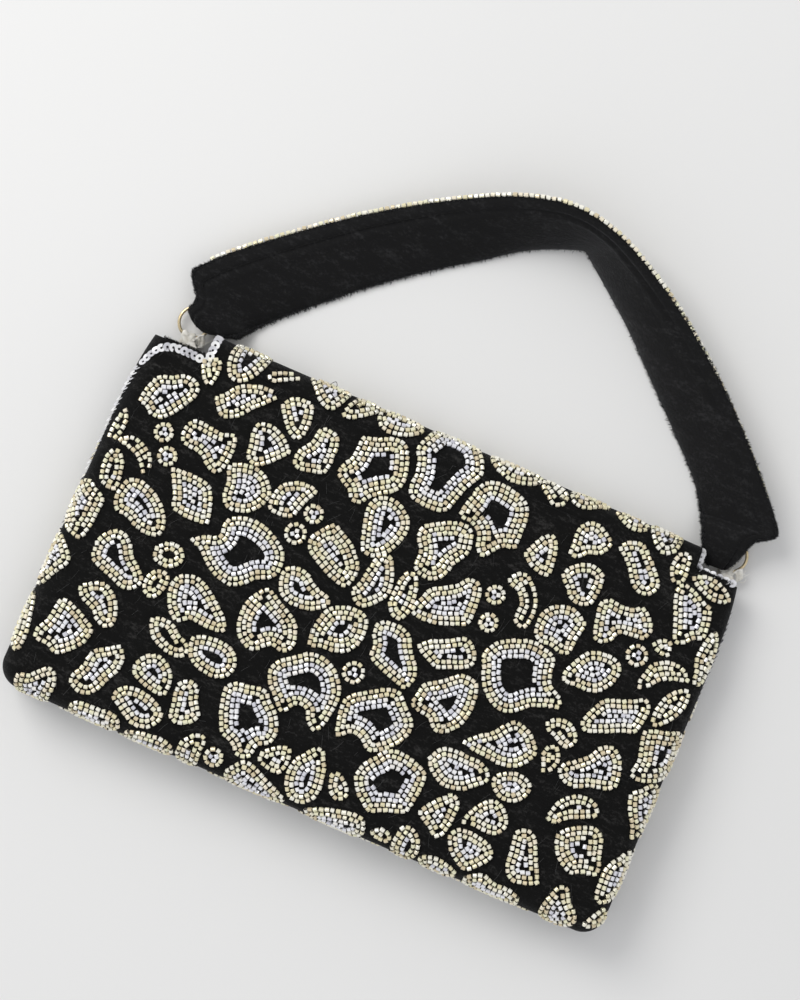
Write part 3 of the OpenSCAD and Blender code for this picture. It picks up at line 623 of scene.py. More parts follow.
def catmull(points, per, closed=False):
    """Points of a smooth curve through the given ones, per steps between each two."""
    p = np.asarray(points, float)
    if closed:
        p = np.concatenate([p[-1:], p, p[:2]])
    else:
        p = np.concatenate([2 * p[:1] - p[1:2], p, 2 * p[-1:] - p[-2:-1]])
    t = np.arange(per)[:, None] / per
    out = []
    for a, b, c, d in zip(p[:-3], p[1:-2], p[2:-1], p[3:]):
        out.append(0.5 * (2 * b + (c - a) * t + (2 * a - 5 * b + 4 * c - d) * t ** 2
                          + (3 * b - a - 3 * c + d) * t ** 3))
    out = np.concatenate(out)
    return out if closed else np.concatenate([out, p[-2:-1]])


def spread(line, step, closed=False):
    """Points at even steps along a line, and the directions there."""
    line = np.asarray(line, float)
    if closed:
        line = np.concatenate([line, line[:1]])
    seg = np.linalg.norm(np.diff(line, axis=0), axis=1)
    s = np.concatenate([[0], np.cumsum(seg)])
    if s[-1] < step * 0.6:
        mid = line[len(line) // 2][None]
        return mid, (line[-1] - line[0])[None] + SMALL
    count = max(1, int(round(s[-1] / step)))
    at = np.linspace(0, s[-1], count, endpoint=False) if closed else np.linspace(0, s[-1], count + 1)
    dims = range(line.shape[1])
    pts = np.stack([np.interp(at, s, line[:, i]) for i in dims], 1)
    near = np.stack([np.interp(np.minimum(at + 0.3, s[-1]), s, line[:, i]) for i in dims], 1)
    back = np.stack([np.interp(np.maximum(at - 0.3, 0), s, line[:, i]) for i in dims], 1)
    return pts, near - back


def tube(path, radius, sides):
    """Vertices and faces of a round tube along a path."""
    path = np.asarray(path, float)
    n = len(path)
    up = np.array([0.0, 0.0, 1.0])
    ahead = unit(np.gradient(path, axis=0))
    if abs(ahead[0] @ up) > 0.9:
        up = np.array([1.0, 0.0, 0.0])
    turn = np.arange(sides) * 2 * math.pi / sides
    rings = []
    for p, d in zip(path, ahead):
        up = unit(up - d * (up @ d))
        rings.append(p + radius * (np.cos(turn)[:, None] * up + np.sin(turn)[:, None] * np.cross(d, up)))
    faces = ring_faces(n, sides)
    faces.append(tuple(range(sides))[::-1])
    faces.append(tuple((n - 1) * sides + k for k in range(sides)))
    return np.concatenate(rings), faces


def joined(parts):
    """Several (vertices, faces) as one."""
    verts, faces, start = [], [], 0
    for v, f in parts:
        verts.append(np.asarray(v, float))
        faces.extend(tuple(int(i) + start for i in face) for face in f)
        start += len(v)
    return np.concatenate(verts), faces


# -------------------------------------------------------------------- surfaces

def waves(u, v, seed):
    """Gentle unevenness between about -1 and 1, the same each time."""
    draw = np.random.default_rng(seed)
    total = 0
    for length in (95, 62, 41, 27, 19):
        a, phase = draw.uniform(0, math.pi), draw.uniform(0, 2 * math.pi)
        k = 2 * math.pi / length
        total = total + np.sin(k * (u * math.cos(a) + v * math.sin(a)) + phase) * length / 140
    return total / 1.2


def face_height(x, y):
    """Height of the flap's face, with the padding's crown and dents."""
    crown = FACE_CROWN * (1 - (x / 130) ** 2) * (1 - ((y + 3) / 82) ** 2)
    calm = np.clip((SHOULDER_Y - y) / 14, 0, 1)
    return face_plane(y) + crown * calm + FACE_WAVE * waves(x, y, 3) * calm


def face_plane(y):
    """Height of the flap's face with no padding, which the layers under it follow too."""
    return FACE_TOP_Z + SLOPE * (SHOULDER_Y - y)


def bulged(x, y):
    """The bag's sides bow out a little in the middle of their length."""
    return x * (1.004 - 0.022 * (np.maximum(y - 20, 0) / 51) ** 4)


def past_edge(u, v, side, low):
    """The nearest place on a flat face, the way out over its edge there, and how far out."""
    u, v = np.asarray(u, float), np.asarray(v, float)
    dx = np.maximum(np.abs(u) - side, 0)
    dy = np.maximum(low - v, 0)
    e = np.hypot(dx, dy)
    safe = np.maximum(e, SMALL)
    return np.clip(u, -side, side), np.maximum(v, low), np.sign(u) * dx / safe, -dy / safe, e


def flap_at(u, v, lift=0.0):
    """Points on the flap at cloth coordinates u across and v up, lifted off its face."""
    return flap_curled(*past_edge(u, v, SIDE, LOW), lift)


def flap_curled(x, y, ex, ey, e, lift):
    """A point e away from the flap's flat face at (x, y), round its edge along (ex, ey)."""
    turn = np.minimum(e / ROLL, HALF_PI)
    drop = np.maximum(e - ROLL * HALF_PI, 0)
    out = (ROLL + lift) * np.sin(turn)
    fold = np.clip((y - SHOULDER_Y) / FOLD_LEN, 0, 1) * math.pi
    flat_y = np.minimum(y, SHOULDER_Y)
    z = face_height(x, flat_y) - ROLL + (ROLL + lift) * np.cos(turn) - drop
    across = bulged(x + ex * out, flat_y)
    folded = y > SHOULDER_Y
    py = np.where(folded, SHOULDER_Y + (FOLD_REACH + lift) * np.sin(fold), flat_y + ey * out)
    pz = np.where(folded, FOLD_MID + (FOLD_RISE + lift) * np.cos(fold), z)
    return np.stack([across, py, pz], -1)


def back_at(u, v, lift=0.0):
    """Points on the pouch at cloth coordinates: its back is down, its edges turn up."""
    return pouch_curled(*past_edge(u, v, POUCH_SIDE, POUCH_LOW), lift)


def pouch_curled(x, y, ex, ey, e, lift):
    """A point e away from the pouch's flat back at (x, y), round its edge along (ex, ey)."""
    turn = np.minimum(e / POUCH_ROLL, HALF_PI)
    rise = np.maximum(e - POUCH_ROLL * HALF_PI, 0)
    out = (POUCH_ROLL + lift) * np.sin(turn)
    z = BACK_Z + POUCH_ROLL - (POUCH_ROLL + lift) * np.cos(turn) + rise
    return np.stack([bulged(x + ex * out, y), y + ey * out, z], -1)


def tray(place, side, low, high, reach, steps):
    """A grid over a tray-shaped surface: a flat face whose sides and lower edge turn.

    place takes (x, y, ex, ey, e), and reach gives how far the cloth goes round at y.
    """
    nx, ny, ns = steps
    skirt = np.linspace(1, 0, ns, endpoint=False)
    xs = np.concatenate([np.full(ns, -side), np.linspace(-side, side, nx), np.full(ns, side)])
    sx = np.concatenate([skirt, np.zeros(nx), skirt[::-1]])
    ys = np.concatenate([np.full(ns, low), np.linspace(low, high, ny)])
    sy = np.concatenate([skirt, np.zeros(ny)])
    x, y = np.meshgrid(xs, ys)
    px, py = np.meshgrid(sx, sy)
    s = np.maximum(px, py)
    length = np.maximum(np.hypot(px, py), SMALL)
    e = s * reach(x, y)
    return place(x, y, np.sign(x) * px / length, -py / length, e)


def flap_reach(x, y):
    """How far the flap's cloth goes round its edge, down to the hem."""
    return ROLL * HALF_PI + face_height(x, y) - ROLL - HEM_Z


def pouch_reach(x, y):
    """How far the pouch's cloth goes round its edge, up to the front."""
    top = face_plane(y) - FRONT_OFF - 1.6
    return POUCH_ROLL * HALF_PI + top - BACK_Z - POUCH_ROLL


# ----------------------------------------------------------------------- beads

def bead_shape():
    """One cut bead along x, with softened ends and a dimple where its hole is."""
    rings = [(-0.5, 0.36), (-0.5, 0.84), (-0.41, 1.0), (0.41, 1.0), (0.5, 0.84), (0.5, 0.36)]
    dimple = (0.18, 0, 0, 0, 0, -0.18)
    turn = (np.arange(BEAD_SIDES) + 0.5) * 2 * math.pi / BEAD_SIDES
    verts = np.array([
        (at * BEAD_LEN + sunk, r * BEAD_R * math.cos(t), r * BEAD_R * math.sin(t))
        for (at, r), sunk in zip(rings, dimple) for t in turn
    ])
    quads = np.array([(b, a, d, c) for a, b, c, d in ring_faces(len(rings), BEAD_SIDES)])
    last = (len(rings) - 1) * BEAD_SIDES
    caps = [tuple(range(BEAD_SIDES)), tuple(range(last, last + BEAD_SIDES))[::-1]]
    ends = [i for i, quad in enumerate(quads) if min(quad) < BEAD_SIDES or max(quad) >= last]
    return verts, quads, caps, ends


BEAD_VERTS, BEAD_QUADS, BEAD_CAPS, BEAD_ENDS = bead_shape()


def seat(surface, u, v, angle, lift):
    """Places on a surface, with the direction along a row and the way up."""
    h = 0.05
    p = surface(u, v, lift)
    tu = surface(u + h, v, lift) - surface(u - h, v, lift)
    tv = surface(u, v + h, lift) - surface(u, v - h, lift)
    up = unit(np.cross(tu, tv))
    tu = unit(tu)
    tv = np.cross(up, tu)
    return p, tu * np.cos(angle)[:, None] + tv * np.sin(angle)[:, None], up


def spun(a, b, angle):
    """Two square directions, turned in their plane."""
    return a * np.cos(angle) + b * np.sin(angle), b * np.cos(angle) - a * np.sin(angle)


def copied(verts, p, a, b, c):
    """The vertices of a copy of a shape at each place p, its axes along a, b and c."""
    x, y, z = (verts[None, :, i:i + 1] for i in range(3))
    return (p[:, None] + a[:, None] * x + b[:, None] * y + c[:, None] * z).reshape(-1, 3)


def copied_faces(faces, count, step):
    """The faces of count copies of a shape that has step vertices."""
    faces = np.asarray(faces)
    return (faces[None] + (np.arange(count) * step)[:, None, None]).reshape(-1, faces.shape[1])


def bead_pieces(name, places, along, up, kind, body=None):
    """Beads at places, each a little askew, split into pieces small enough to export whole."""
    mats, slot = BEAD_SETS[kind]
    # hole indexes the dark bead-end material: the thread hole plus painted shade in the gaps between beads
    hole = len(mats) - 1
    made = []
    order = np.lexsort((places[:, 1], np.floor(places[:, 0] / STRIPE)))
    places, along, up = places[order], along[order], up[order]
    for part, start in enumerate(range(0, len(places), BEADS_PER_PIECE)):
        p, a, n = (q[start:start + BEADS_PER_PIECE] for q in (places, along, up))
        count = len(p)
        tilt = rng.normal(0, BEAD_TILT, (count, 1))
        yaw = rng.normal(0, BEAD_YAW, (count, 1))
        roll = rng.uniform(-BEAD_ROLL, BEAD_ROLL, (count, 1))
        size = rng.uniform(0.93, 1.05, (count, 1))
        long = rng.uniform(0.92, 1.06, (count, 1))
        side = np.cross(n, a)
        p = p + side * rng.normal(0, BEAD_STRAY, (count, 1)) + a * rng.normal(0, BEAD_STRAY, (count, 1))
        a = unit(a + side * yaw + n * tilt)
        side = unit(np.cross(n, a))
        side, top = spun(side, np.cross(a, side), roll)
        verts = copied(BEAD_VERTS, p, a * size * long, side * size, top * size)
        quads = copied_faces(BEAD_QUADS, count, len(BEAD_VERTS))
        caps = copied_faces(BEAD_CAPS, count, len(BEAD_VERTS))
        tint = rng.integers(0, hole, count)
        around = np.repeat(tint[:, None], len(BEAD_QUADS), 1)
        # The end faces and caps take the dark end material, painted shade between beads as well as the hole
        around[:, BEAD_ENDS] = hole
        picks = np.concatenate([around.ravel(), np.full(len(caps), hole)])
        made.append(make(f"{name}_{kind}_{part + 1}", verts, quads.tolist() + caps.tolist(), mats, slot,
                         body, smooth=False, picks=picks))
    return made


def outline_distance(points, line):
    """Distance of each point to the nearest of a line's points."""
    gap = points[:, None] - line[None]
    return np.sqrt((gap ** 2).sum(2).min(1))


def inside(points, line):
    """Which points lie inside a closed line."""
    x, y = points[:, 0][:, None], points[:, 1][:, None]
    ax, ay = line[:, 0], line[:, 1]
    bx, by = np.roll(ax, -1), np.roll(ay, -1)
    cross = ((ay > y) != (by > y)) & (x < (bx - ax) * (y - ay) / (by - ay + TINY) + ax)
    return cross.sum(1) % 2 == 1


def bead_rows(line, rows, gold_rows):
    """Rows of beads inside a closed line, each as x, y, angle and whether it is gold."""
    ahead = unit(np.roll(line, -1, 0) - np.roll(line, 1, 0))
    inward = np.stack([-ahead[:, 1], ahead[:, 0]], 1)
    placed = []
    for k in range(rows):
        depth = (k + ROW_START) * ROW_STEP
        moved = line + inward * depth
        keep = (outline_distance(moved, line) >= depth - ROW_SLACK) & inside(moved, line)
        if not keep.any():
            break
        ring = moved[keep]
        closed = np.linalg.norm(ring[0] - ring[-1]) < ROW_JOIN
        for p, d in zip(*spread(ring, BEAD_STEP, closed)):
            if placed and min((p[0] - q[0]) ** 2 + (p[1] - q[1]) ** 2 for q in placed) < BEAD_NEAR ** 2:
                continue
            placed.append((p[0], p[1], math.atan2(d[1], d[0]), k < gold_rows))
    return placed


def fill_gaps(placed, line, rows):
    """Adds silver beads wherever the rows inside a closed line leave room for one."""
    axes = [np.arange(low, high, SPOT_STEP) for low, high in zip(line.min(0), line.max(0))]
    spots = np.stack([axis.ravel() for axis in np.meshgrid(*axes)], 1)
    spots = spots[inside(spots, line)]
    from_edge = outline_distance(spots, line)
    spots = spots[(from_edge > 1.0) & (from_edge < rows * ROW_STEP - 1.5)]
    while len(spots):
        gap = outline_distance(spots, np.array([q[:2] for q in placed]))
        best = int(np.argmax(gap))
        if gap[best] < BEAD_GAP:
            break
        near = placed[int(np.argmin([math.dist(q[:2], spots[best]) for q in placed]))]
        placed.append((spots[best][0], spots[best][1], near[2], False))
        spots = spots[gap > 1.3]


def fill_motif(rows, outline, gold_rows):
    """Beads of one motif: so many rows inside its outline, or if 0 as many as it holds."""
    line = spread(catmull(outline, 8, closed=True), OUTLINE_STEP, closed=True)[0]
    area = np.sum(line[:, 0] * np.roll(line[:, 1], -1) - np.roll(line[:, 0], -1) * line[:, 1])
    if area < 0:
        line = line[::-1]
    rows = rows or MOST_ROWS
    placed = bead_rows(line, rows, gold_rows)
    if placed:
        fill_gaps(placed, line, rows)
    return placed


def rosette(x, y, width):
    """A round motif: a ring of gold beads round one silver one, or three if it is wide."""
    r = width / 2 - BEAD_R
    count = int(round(2 * math.pi * r / (BEAD_STEP * 0.98)))
    ring = [(r, 2 * math.pi * i / count, True) for i in range(count)]
    if r <= WIDE_ROSETTE:
        middle = [(x, y, 0.3, False)]
    else:
        middle = []
        ring += [(ROSETTE_MIDDLE, HALF_PI * i * 4 / 3 + x, False) for i in range(3)]
    return middle + [(x + d * math.cos(t), y + d * math.sin(t), t + HALF_PI, gold) for d, t, gold in ring]


# ------------------------------------------------- beads of the flap and pouch

def all_motif_beads():
    """Every bead of the pattern: u, v, angle and whether it is gold."""
    beads = []
    for rows, *flat in MOTIFS:
        outline = np.array(flat, float).reshape(-1, 2)
        gold_rows = 2 + int(rows > 3 and rng.random() < 0.4)
        beads += fill_motif(rows, outline, gold_rows)
    for x, y, width in ROSETTES:
        beads += rosette(x, y, width)
    return np.array(beads, float)


def oval(x, y, long, wide, turn, wobble):
    """Outline of an uneven oval."""
    t = np.arange(10) * 2 * math.pi / 10
    r = 1 + wobble * np.cos(3 * t + turn * 5)
    px, py = long * r * np.cos(t), wide * r * np.sin(t)
    return np.stack([x + px * math.cos(turn) - py * math.sin(turn),
                     y + px * math.sin(turn) + py * math.cos(turn)], 1)


PATTERN = all_motif_beads()
ON_FLAP = PATTERN[:, 1] < SHOULDER_Y - 0.4
ON_FOLD = (~ON_FLAP & (PATTERN[:, 1] < FOLD_TOP - 0.6)
           & (PATTERN[:, 0] > FOLD_LEFT + 1) & (PATTERN[:, 0] < FOLD_RIGHT - 1))

def bead_field(*sets):
    """A search tree over beads' cloth coordinates."""
    every = np.concatenate([s[:, :2] for s in sets])
    tree = kdtree.KDTree(len(every))
    for i, (u, v) in enumerate(every):
        tree.insert((u, v, 0), i)
    tree.balance()
    return tree


def gaps(tree, places):
    """How far each place on the cloth is from the nearest bead of a tree."""
    return np.array([tree.find((u, v, 0))[2] for u, v in places])


def skirt_beads():
    """Small ovals down the flap's turned-down sides, below those of the face."""
    beads = []
    rolled = ROLL * HALF_PI
    for way in (-1, 1):
        for i, y in enumerate(np.arange(-56, 30, 12.5)):
            e = rolled + 3.4 + 0.4 * math.sin(i * 2.1)
            turn = HALF_PI + 0.2 * math.sin(i * 1.7)
            beads += fill_motif(0, oval(way * (SIDE + e), y, 4.6, 2.2, turn, 0.06), 1)
    for i, x in enumerate(np.arange(-110, 112, 12.8)):
        e = rolled + 3.9 + 0.5 * math.sin(i * 1.9)
        beads += fill_motif(0, oval(x, LOW - e, 4.6, 2.3, 0.2 * math.sin(i * 2.3), 0.07), 1)
    beads = np.array(beads, float)
    return beads[gaps(bead_field(PATTERN), beads[:, :2]) > 2.0]


def lay(name, beads, seated, body=None):
    """The gold and silver pieces of some beads; seated puts them on their cloth."""
    made = []
    for kind, want in (("gold", True), ("silver", False)):
        some = beads[(beads[:, 3] > 0.5) == want]
        if len(some):
            p, a, n = seated(some[:, 0], some[:, 1], some[:, 2])
            made += bead_pieces(name, p, a, n, kind, body)
    return made


def on_flap(u, v, angle):
    """The flap's face and the near half of the fold."""
    return seat(flap_at, u, v, angle, BEAD_LIFT)


def on_fold_back(u, v, angle):
    """The far half of the fold, which repeats the near half."""
    return seat(flap_at, u, 2 * FOLD_TOP - v, -angle, BEAD_LIFT)


def on_back(u, v, angle):
    """The pouch's back, whose beads face down."""
    p, a, n = seat(back_at, u, v, angle, BEAD_LIFT)
    return p, a, -n


def quilted(grid, places):
    """Lets the velvet stand up a little between the motifs, away from the beads."""
    rows, cols = grid.shape[:2]
    swell = np.clip((gaps(FLAP_TREE, places.reshape(-1, 2)) - 1.0) / PILE_REACH, 0, 1)
    swell = (swell * swell * (3 - 2 * swell)).reshape(rows, cols, 1)
    return grid + grid_normals(grid) * (swell * PILE_SWELL - 0.1)


FLAP_BEADS = np.concatenate([PATTERN[ON_FLAP], skirt_beads()])
FLAP_TREE = bead_field(PATTERN, FLAP_BEADS)

# The flap's face with its turned-down sides
FACE_SIZE = (SIDE, LOW, SHOULDER_Y - 0.2, flap_reach, (176, 104, 16))
flap_grid = tray(lambda *place: flap_curled(*place, 0.0), *FACE_SIZE)
flap_places = tray(lambda x, y, ex, ey, e: np.stack([x + ex * e, y + ey * e], -1), *FACE_SIZE)
flap_cloth = shell("flap_velvet", quilted(flap_grid, flap_places), VELVET_T, VELVET, "beaded_velvet",
                   "flap", ["flap_panel"])
lay("flap_beads", FLAP_BEADS, on_flap, "flap")


# The fold over the mouth
def over_fold(piece):
    """Bakes a piece's placement into its mesh and leaves it loose, held by neither the bag nor the flap."""
    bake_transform(piece)


fold_u, fold_v = np.meshgrid(np.linspace(FOLD_LEFT, FOLD_RIGHT, 150),
                             np.linspace(SHOULDER_Y - 0.3, SHOULDER_Y + FOLD_LEN, 22))
fold_places = np.stack([fold_u, np.minimum(fold_v, 2 * FOLD_TOP - fold_v)], -1)
over_fold(shell("fold_velvet", quilted(flap_at(fold_u, fold_v), fold_places), VELVET_T, VELVET,
                "beaded_velvet"))
fold_beads = PATTERN[ON_FOLD]
for piece in lay("fold_beads", fold_beads, on_flap):
    over_fold(piece)
for piece in lay("fold_back_beads", fold_beads[fold_beads[:, 1] > SHOULDER_Y + 0.6], on_fold_back):
    over_fold(piece)

# The pouch: its back, and its sides and bottom turned up
past_side = np.abs(PATTERN[:, 0]) - POUCH_SIDE
past_low = POUCH_LOW - PATTERN[:, 1]
at_corner = (past_side > -2) & (past_low > -2)
pouch_grid = tray(lambda *place: pouch_curled(*place, 0.0), POUCH_SIDE, POUCH_LOW, SHOULDER_Y - 0.6,
                  pouch_reach, (130, 80, 12))
shell("pouch_velvet", pouch_grid, 0.6, VELVET, "beaded_velvet", "bag",
      ["back_panel", "bottom_gusset", "side_gusset_left", "side_gusset_right"], flip=True)
lay("back_beads", PATTERN[ON_FLAP & (past_side < 9) & (past_low < 9) & ~at_corner], on_back, "bag")


# The pouch's front under the flap
def front_curled(x, y, ex, ey, e):
    """A point e away from the front's flat face at (x, y), round its edge along (ex, ey)."""
    turn = np.minimum(e / POUCH_ROLL, HALF_PI)
    out = POUCH_ROLL * np.sin(turn)
    base = face_plane(y) - FRONT_OFF - 0.12 + 0.1 * waves(x, y, 5)
    z = base - POUCH_ROLL + POUCH_ROLL * np.cos(turn)
    return np.stack([bulged(x + ex * out, y), y + ey * out, z], -1)


front_grid = tray(front_curled, POUCH_SIDE, POUCH_LOW, MOUTH_Y,
                  lambda x, y: POUCH_ROLL * HALF_PI + 0 * y, (130, 80, 6))
shell("front_velvet", front_grid, 1.0, VELVET, "velvet", "bag", ["front_panel"])


# The flap's satin lining, just under its board
def flap_satin_at(x, y, ex, ey, e):
    """A point of the lining e away from (x, y) along (ex, ey)."""
    px, py = bulged(x + ex * e, y), y + ey * e
    return np.stack([px, py, face_plane(py) - SATIN_UNDER + 0.06 * waves(px * 2, py * 2, 8)], -1)


lining_grid = tray(flap_satin_at, SIDE, LOW, SHOULDER_Y - 1.5,
                   lambda x, y: SATIN_PAST + 0 * y, (140, 90, 5))
shell("flap_satin", lining_grid, 0.5, SATIN, "satin", "flap", ["flap_lining"])


# The pouch's satin lining: a flat bag open at the mouth
def lining_loop(y, shrink):
    """Cross-section of the lining at y, as a rounded oblong."""
    t = np.linspace(0, 2 * math.pi, 201)
    top = face_plane(y) - LINING_UNDER
    mid, half = (top + LINING_FLOOR) / 2, (top - LINING_FLOOR) / 2
    c, s = np.cos(t), np.sin(t)
    x = LINING_SIDE * shrink * np.sign(c) * np.abs(c) ** 0.25
    z = mid + half * min(1, shrink ** 0.5) * np.sign(s) * np.abs(s) ** 0.25
    return np.stack([bulged(x, y), y + 0 * t, z + 0.05 * waves(x, 7 * y, 9)], -1)


sections = [(59.0, 1.0)] + [(y, 1.0) for y in np.linspace(57, -68, 54)]
sections += [(-69.2, 0.995), (-70.2, 0.985), (-70.8, 0.96), (-71.1, 0.9)]
pouch_lining = np.array([lining_loop(y, shrink) for y, shrink in sections])
shell("pouch_satin", pouch_lining, 0.35, SATIN, "satin", "bag", ["lining_pouch"], flip=True)

# Slip pocket on the lining's floor
pocket_x, pocket_y = np.meshgrid(np.linspace(-POCKET_SIDE, POCKET_SIDE, 60),
                                 np.linspace(-POCKET_TOP, POCKET_TOP, 50))
calm = np.clip((POCKET_TOP - pocket_y) / 4, 0, 1)
pocket_z = POCKET_Z + 0.12 * waves(pocket_x * 2, pocket_y * 2, 12) * calm + 0.25 * (1 - calm)
shell("pocket_satin", np.stack([pocket_x, pocket_y, pocket_z], -1), 0.35, SATIN, "satin", "bag",
      ["slip_pocket"])


# ----------------------------------------------------------------- sequin string

def sequin_shape():
    """A flat ring with a slightly dished face."""
    rings = [(0.5, -0.02), (1.75, 0.14), (1.75, 0.26), (1.2, 0.18), (0.5, 0.1)]
    turn = np.arange(SEQUIN_SIDES) * 2 * math.pi / SEQUIN_SIDES
    verts = np.array([(r * math.cos(t), r * math.sin(t), z) for r, z in rings for t in turn])
    faces = ring_faces(len(rings), SEQUIN_SIDES, closed=True)
    return verts, np.array([(b, a, d, c) for a, b, c, d in faces])


SEQUIN_VERTS, SEQUIN_FACES = sequin_shape()


def sequins(name, path, body=None, surface=flap_at, lean=SEQUIN_TILT, step=SEQUIN_STEP, face_up=0.0):
    """A string of overlapping sequins along a path in cloth coordinates."""
    pts, way = spread(catmull(path, 12), step)
    p, a, n = seat(surface, pts[:, 0], pts[:, 1], np.arctan2(way[:, 1], way[:, 0]), SEQUIN_LIFT)
    count = len(p)
    n = unit(n * (1 - face_up) + np.array([0, 0, face_up]))
    a = unit(a - n * (a * n).sum(1, keepdims=True))
    a, n = spun(a, n, lean + rng.normal(0, 0.06 + face_up / 3, (count, 1)))
    side, n = spun(np.cross(n, a), n, rng.normal(0, 0.1, (count, 1)))
    picks = np.repeat(rng.integers(0, len(SEQUIN), count), len(SEQUIN_FACES))
    return make(name, copied(SEQUIN_VERTS, p, a, side, n),
                copied_faces(SEQUIN_FACES, count, len(SEQUIN_VERTS)).tolist(), SEQUIN, "sequin", body,
                smooth=False, picks=picks)


def hem_e(y):
    """How far round the edge the sequins lie near the hem."""
    return float(flap_reach(0.0, y)) - 2.6


def hem_corner(way, angles):
    """The sequins' path round one lower corner."""
    return [(way * (SIDE + hem_e(LOW) * math.cos(t)), LOW - hem_e(LOW) * math.sin(t)) for t in angles]


def shoulder_side(u, v, lift):
    """The cut edge of the right shoulder, facing up the bag; v is downwards."""
    return np.stack([bulged(u, SHOULDER_Y), SHOULDER_Y - 0.1 + lift + 0 * u, FACE_TOP_Z - 1.0 - v], -1)


def neck_side(u, v, lift):
    """The cut side of the fold at its right end; u runs round the fold."""
    turn = (u - SHOULDER_Y) / FOLD_LEN * math.pi
    return np.stack([FOLD_RIGHT * 0.984 + lift + 0 * u,
                     SHOULDER_Y + (FOLD_REACH - 1.4 + v) * np.sin(turn),
                     FOLD_MID + (FOLD_RISE - 1.4 + v) * np.cos(turn)], -1)


SHOULDER_PATH = [(-106, 69), (-112.5, 69.2), (-117, 68.8), (-120.5, 67.3), (-123.2, 64), (-125.4, 59)]
CORNER_ANGLES = (0.15, 0.6, 1.0, 1.4)
HEM_PATH = [(-126.9, 56), (-128.4, 46), (-130, 30), (-131.6, 8), (-133.2, -15), (-135, -40), (-137, -58)]
HEM_PATH += hem_corner(-1, CORNER_ANGLES)
HEM_PATH += [(x, LOW - hem_e(LOW)) for x in range(-110, 116, 15)]
HEM_PATH += hem_corner(1, CORNER_ANGLES[::-1])
HEM_PATH += [(SIDE + hem_e(y), y) for y in range(-60, 70, 12)]

sequins("sequins_shoulder", SHOULDER_PATH, "flap")
edge_sequins = sequins("sequins_edge", HEM_PATH, "flap", lean=0.5)
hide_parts("sequin_edging")
sequins("sequins_shoulder_right", [(109.5, 0.4), (114, 0.2), (119, 0.5), (124, 0.9)], "flap", shoulder_side,
        lean=0.3, step=2.7, face_up=0.6)
over_fold(sequins("sequins_neck_left", [(FOLD_LEFT + 1.2, SHOULDER_Y - 2 + i * 3) for i in range(9)]))
over_fold(sequins("sequins_neck_right", [(SHOULDER_Y + 1 + i * 3.2, 0.0) for i in range(8)],
                  surface=neck_side, lean=0.3, step=2.9, face_up=0.6))


# ------------------------------------------------------------------------- strap

def strap_lines():
    """Smooth rim, inner edge, rise and foot along the strap."""
    rows = np.column_stack([STRAP_RIM, STRAP_INNER, STRAP_RISE, STRAP_FOOT])
    fine = catmull(rows, 5)
    return fine[:, :2], fine[:, 2:4], np.maximum(fine[:, 4], 0.2), np.maximum(fine[:, 5], 0.1)


RIM, INNER, RISE, FOOT = strap_lines()


def strap_at(s, t):
    """Points under the strap: s from its left end, 0 to 1, t from inner edge to rim."""
    s, t = np.asarray(s, float), np.asarray(t, float)
    at = np.clip(s, 0, 1) * (len(RIM) - 1)
    grid = np.arange(len(RIM))
    rim = np.stack([np.interp(at, grid, RIM[:, i]) for i in (0, 1)], -1)
    inner = np.stack([np.interp(at, grid, INNER[:, i]) for i in (0, 1)], -1)
    rise, foot = np.interp(at, grid, RISE), np.interp(at, grid, FOOT)
    flat = inner + (rim - inner) * t[..., None]
    z = foot + rise * (t + STRAP_BULGE * np.sin(math.pi * t))
    return np.concatenate([flat, z[..., None]], -1)


across_t = (1 - np.cos(np.linspace(0, math.pi, 41))) / 2
t_grid, s_grid = np.meshgrid(across_t, np.linspace(0, 1, len(RIM) * 2))
under = strap_at(s_grid, t_grid)
up = grid_normals(under)
up = up * np.sign(up[..., 2:])
cushion = STRAP_T * (1 - np.abs(2 * t_grid - 1) ** 5) ** 0.5 + 0.35
seam = 0.75 * np.exp(-((t_grid - STITCH_T) / 0.03) ** 2)
ridge = 0.4 * np.exp(-((t_grid - STITCH_T + 0.09) / 0.04) ** 2)
puff = 0.25 * waves(s_grid * 320, t_grid * STRAP_W, 21) - (seam - ridge)
strap_thick = np.maximum(cushion + puff * np.sin(math.pi * t_grid) ** 0.5, 0.3)
over = under + up * strap_thick[..., None]
strap_faces = shell_parts(over, 1.0)[1]
strap_verts = np.concatenate([over.reshape(-1, 3), under.reshape(-1, 3)])
if np.cross(over[0, 1] - over[0, 0], over[1, 0] - over[0, 0])[2] < 0:
    strap_faces = strap_faces[:, ::-1]
strap = make("strap_velvet", strap_verts, strap_faces, [STRAP_VELVET], "velvet", "strap",
             ["strap_lining", "strap_core", "strap_face"])


def strap_normal(way):
    """Up, square to the direction of travel."""
    up = np.array([0, 0, 1.0]) - way * way[:, 2:]
    return up / np.linalg.norm(up, axis=1, keepdims=True)


ALONG = np.linspace(0, 1, STRAP_STEPS)


def strap_line(t):
    """A fine line along the strap at t."""
    return strap_at(ALONG, np.full(STRAP_STEPS, t))


rim_plan = strap_line(1.0)
inner_plan = strap_line(0.0)
outward = rim_plan - inner_plan
outward /= np.linalg.norm(outward, axis=1, keepdims=True)

# Two rows of beads along the rim, which the rim's pile hides little by little to the right
BEADED = slice(205, 690)
HIDING_FROM = 500
HIDING_OVER = 120
hidden = np.clip((np.arange(BEADED.start, BEADED.stop) - HIDING_FROM) / HIDING_OVER, 0, 1)[:, None]
for row, (out, down) in enumerate(((0.7, 0.3), (-0.2, -1.1))):
    line = rim_plan[BEADED] + outward[BEADED] * (out - 1.5 * hidden) + np.array([0, 0, down])
    pts, way = spread(line, BEAD_STEP)
    way = unit(way)
    bead_pieces(f"strap_rim_beads_{row + 1}", pts, way, strap_normal(way), "gold", "strap")


